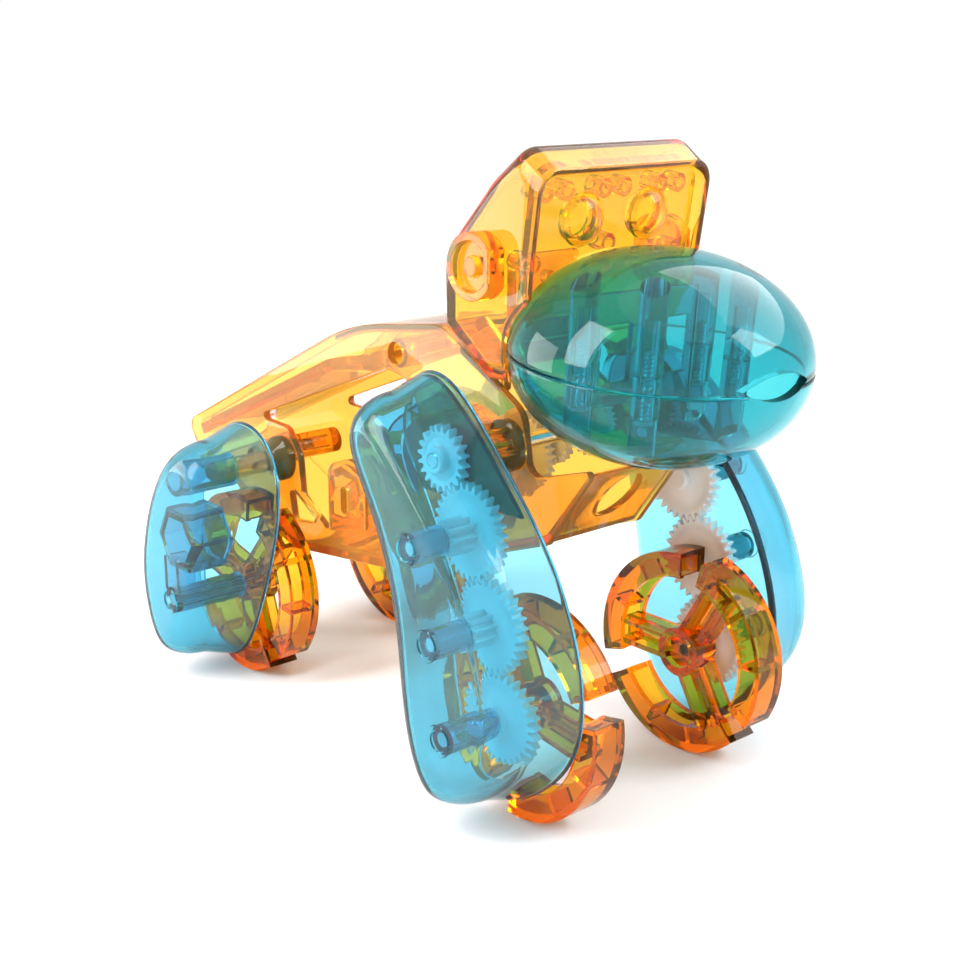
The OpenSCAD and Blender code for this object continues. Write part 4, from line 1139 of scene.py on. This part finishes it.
class TOY_OT_stage(bpy.types.Operator):
    """White floor, soft lamps and the camera"""
    bl_idname = "toy.stage"
    bl_label = "Stage"

    def execute(self, context):
        scene = context.scene
        half = 3.0
        square = (-1, -1), (1, -1), (1, 1), (-1, 1)
        mesh = bpy.data.meshes.new("floor")
        mesh.from_pydata([(x * half, y * half, 0) for x, y in square], [], [(0, 1, 2, 3)])
        floor = bpy.data.objects.new("floor", mesh)
        scene.collection.objects.link(floor)
        mat, w = new_material("white_floor")
        place = w.node("ShaderNodeTexCoord", out=3)
        speck = noise(w, place, 30.0, 3.0)
        skin = w.node("ShaderNodeBsdfPrincipled", None, {
            "Base Color": (0.93, 0.93, 0.93, 1), "Roughness": ramp(w, speck, 0.3, 0.7, 0.75, 0.85),
            "Specular IOR Level": 0.1})
        surface(w, skin)
        mesh.materials.append(mat)

        world = bpy.data.worlds.new("studio")
        scene.world = world
        world.use_nodes = True
        world.node_tree.nodes.clear()
        w = Wire(world.node_tree)
        rays = w.node("ShaderNodeLightPath").socket.node.outputs
        camera, glossy, through = (
            Wire(w.tree, rays[f"Is {kind} Ray"]) for kind in ("Camera", "Glossy", "Transmission"))
        seen = w.math("MAXIMUM", camera, w.math("MAXIMUM", glossy, through))
        back = w.node("ShaderNodeBackground", None, {"Color": (1, 1, 1, 1), "Strength": seen * 0.1 + 0.9})
        w.node("ShaderNodeOutputWorld", None, {"Surface": back})

        sun = bpy.data.lights.new("sky", "SUN")
        sun.energy, sun.angle = 0.9, np.radians(70)
        obj = bpy.data.objects.new("sky", sun)
        scene.collection.objects.link(obj)
        obj.matrix_world = Vector((0.25, -0.2, 1.0)).to_track_quat("Z", "Y").to_matrix().to_4x4()
        for name, place, target, size, power in (
                ("key", (-0.55, 0.15, 0.45), (0, 0, 0.05), (0.25, 0.6), 6.0),
                ("fill", (0.45, -0.55, 0.55), (0, -0.03, 0.07), (0.35, 0.35), 4.0)):
            lamp = bpy.data.lights.new(name, "AREA")
            lamp.shape, lamp.size, lamp.size_y, lamp.energy = "RECTANGLE", *size, power
            obj = bpy.data.objects.new(name, lamp)
            scene.collection.objects.link(obj)
            obj.matrix_world = Matrix.Translation(place) @ (
                Vector(target) - Vector(place)).to_track_quat("-Z", "Y").to_matrix().to_4x4()

        # Cards that only reflections see, for the broad highlights on legs and muzzle
        for name, place, target, size, strength in (
                ("card_left", (-0.30, 0.34, 0.10), (-0.04, 0.02, 0.05), (0.26, 0.34), 8.0),
                ("card_right", (0.34, -0.10, 0.42), (0.0, -0.06, 0.09), (0.5, 0.36), 4.5)):
            turn = (Vector(place) - Vector(target)).to_track_quat("Z", "Y").to_matrix().to_4x4()
            corners = [Matrix.Translation(place) @ turn @ Vector((x * size[0] / 2, y * size[1] / 2, 0))
                       for x, y in square]
            mesh = bpy.data.meshes.new(name)
            mesh.from_pydata(corners, [], [(0, 1, 2, 3)])
            card = bpy.data.objects.new(name, mesh)
            scene.collection.objects.link(card)
            mat, w = new_material(name)
            surface(w, w.node("ShaderNodeEmission", None, {"Color": (1, 1, 1, 1), "Strength": strength}))
            mesh.materials.append(mat)
            card.visible_camera = card.visible_diffuse = False
            card.visible_transmission = card.visible_shadow = False

        cam = bpy.data.cameras.new("photo_view")
        cam.lens, cam.sensor_width = 56.25, 36.0
        cam.clip_start = 0.01
        obj = bpy.data.objects.new("photo_view", cam)
        scene.collection.objects.link(obj)
        right, up, back = (0.7559, -0.6547, 0.0), (0.1793, 0.2070, 0.9618), (-0.6297, -0.7270, 0.2738)
        place = Vector((-205.4, -195.8 - MIDDLE_Y, 143.7)) * MM
        turn = Matrix((right, up, back)).transposed()
        obj.matrix_world = Matrix.Translation(place) @ turn.to_4x4()
        scene.camera = obj
        scene.view_settings.view_transform = "Standard"
        scene.cycles.max_bounces = 96
        scene.cycles.transmission_bounces = 96
        scene.cycles.transparent_max_bounces = 32
        return {"FINISHED"}


class TOY_PT_panel(bpy.types.Panel):
    """Builders of the toy's pieces"""
    bl_label = "Walking toy"
    bl_idname = "TOY_PT_panel"
    bl_space_type = "VIEW_3D"
    bl_region_type = "UI"
    bl_category = "Toy"

    def draw(self, context):
        for setting in ToyColours.__annotations__:
            self.layout.prop(context.scene.toy_colours, setting)
        for operator in OPERATORS:
            self.layout.operator(operator.bl_idname)


OPERATORS = (
    TOY_OT_leg_shells, TOY_OT_body, TOY_OT_under_plates, TOY_OT_head, TOY_OT_muzzle, TOY_OT_gears,
    TOY_OT_feet, TOY_OT_pins, TOY_OT_eyes, TOY_OT_plain_parts, TOY_OT_stage)
CLASSES = (ToyColours, *OPERATORS, TOY_PT_panel)


def register():
    for cls in CLASSES:
        bpy.utils.register_class(cls)
    bpy.types.Scene.toy_colours = PointerProperty(type=ToyColours)


def unregister():
    del bpy.types.Scene.toy_colours
    for cls in reversed(CLASSES):
        bpy.utils.unregister_class(cls)


def main():
    register()
    bpy.ops.toy.leg_shells()
    bpy.ops.toy.body()
    bpy.ops.toy.under_plates()
    bpy.ops.toy.head()
    bpy.ops.toy.muzzle()
    bpy.ops.toy.gears()
    bpy.ops.toy.feet()
    bpy.ops.toy.pins()
    bpy.ops.toy.eyes()
    bpy.ops.toy.plain_parts()
    bpy.ops.toy.stage()


if __name__ == "__main__":
    main()
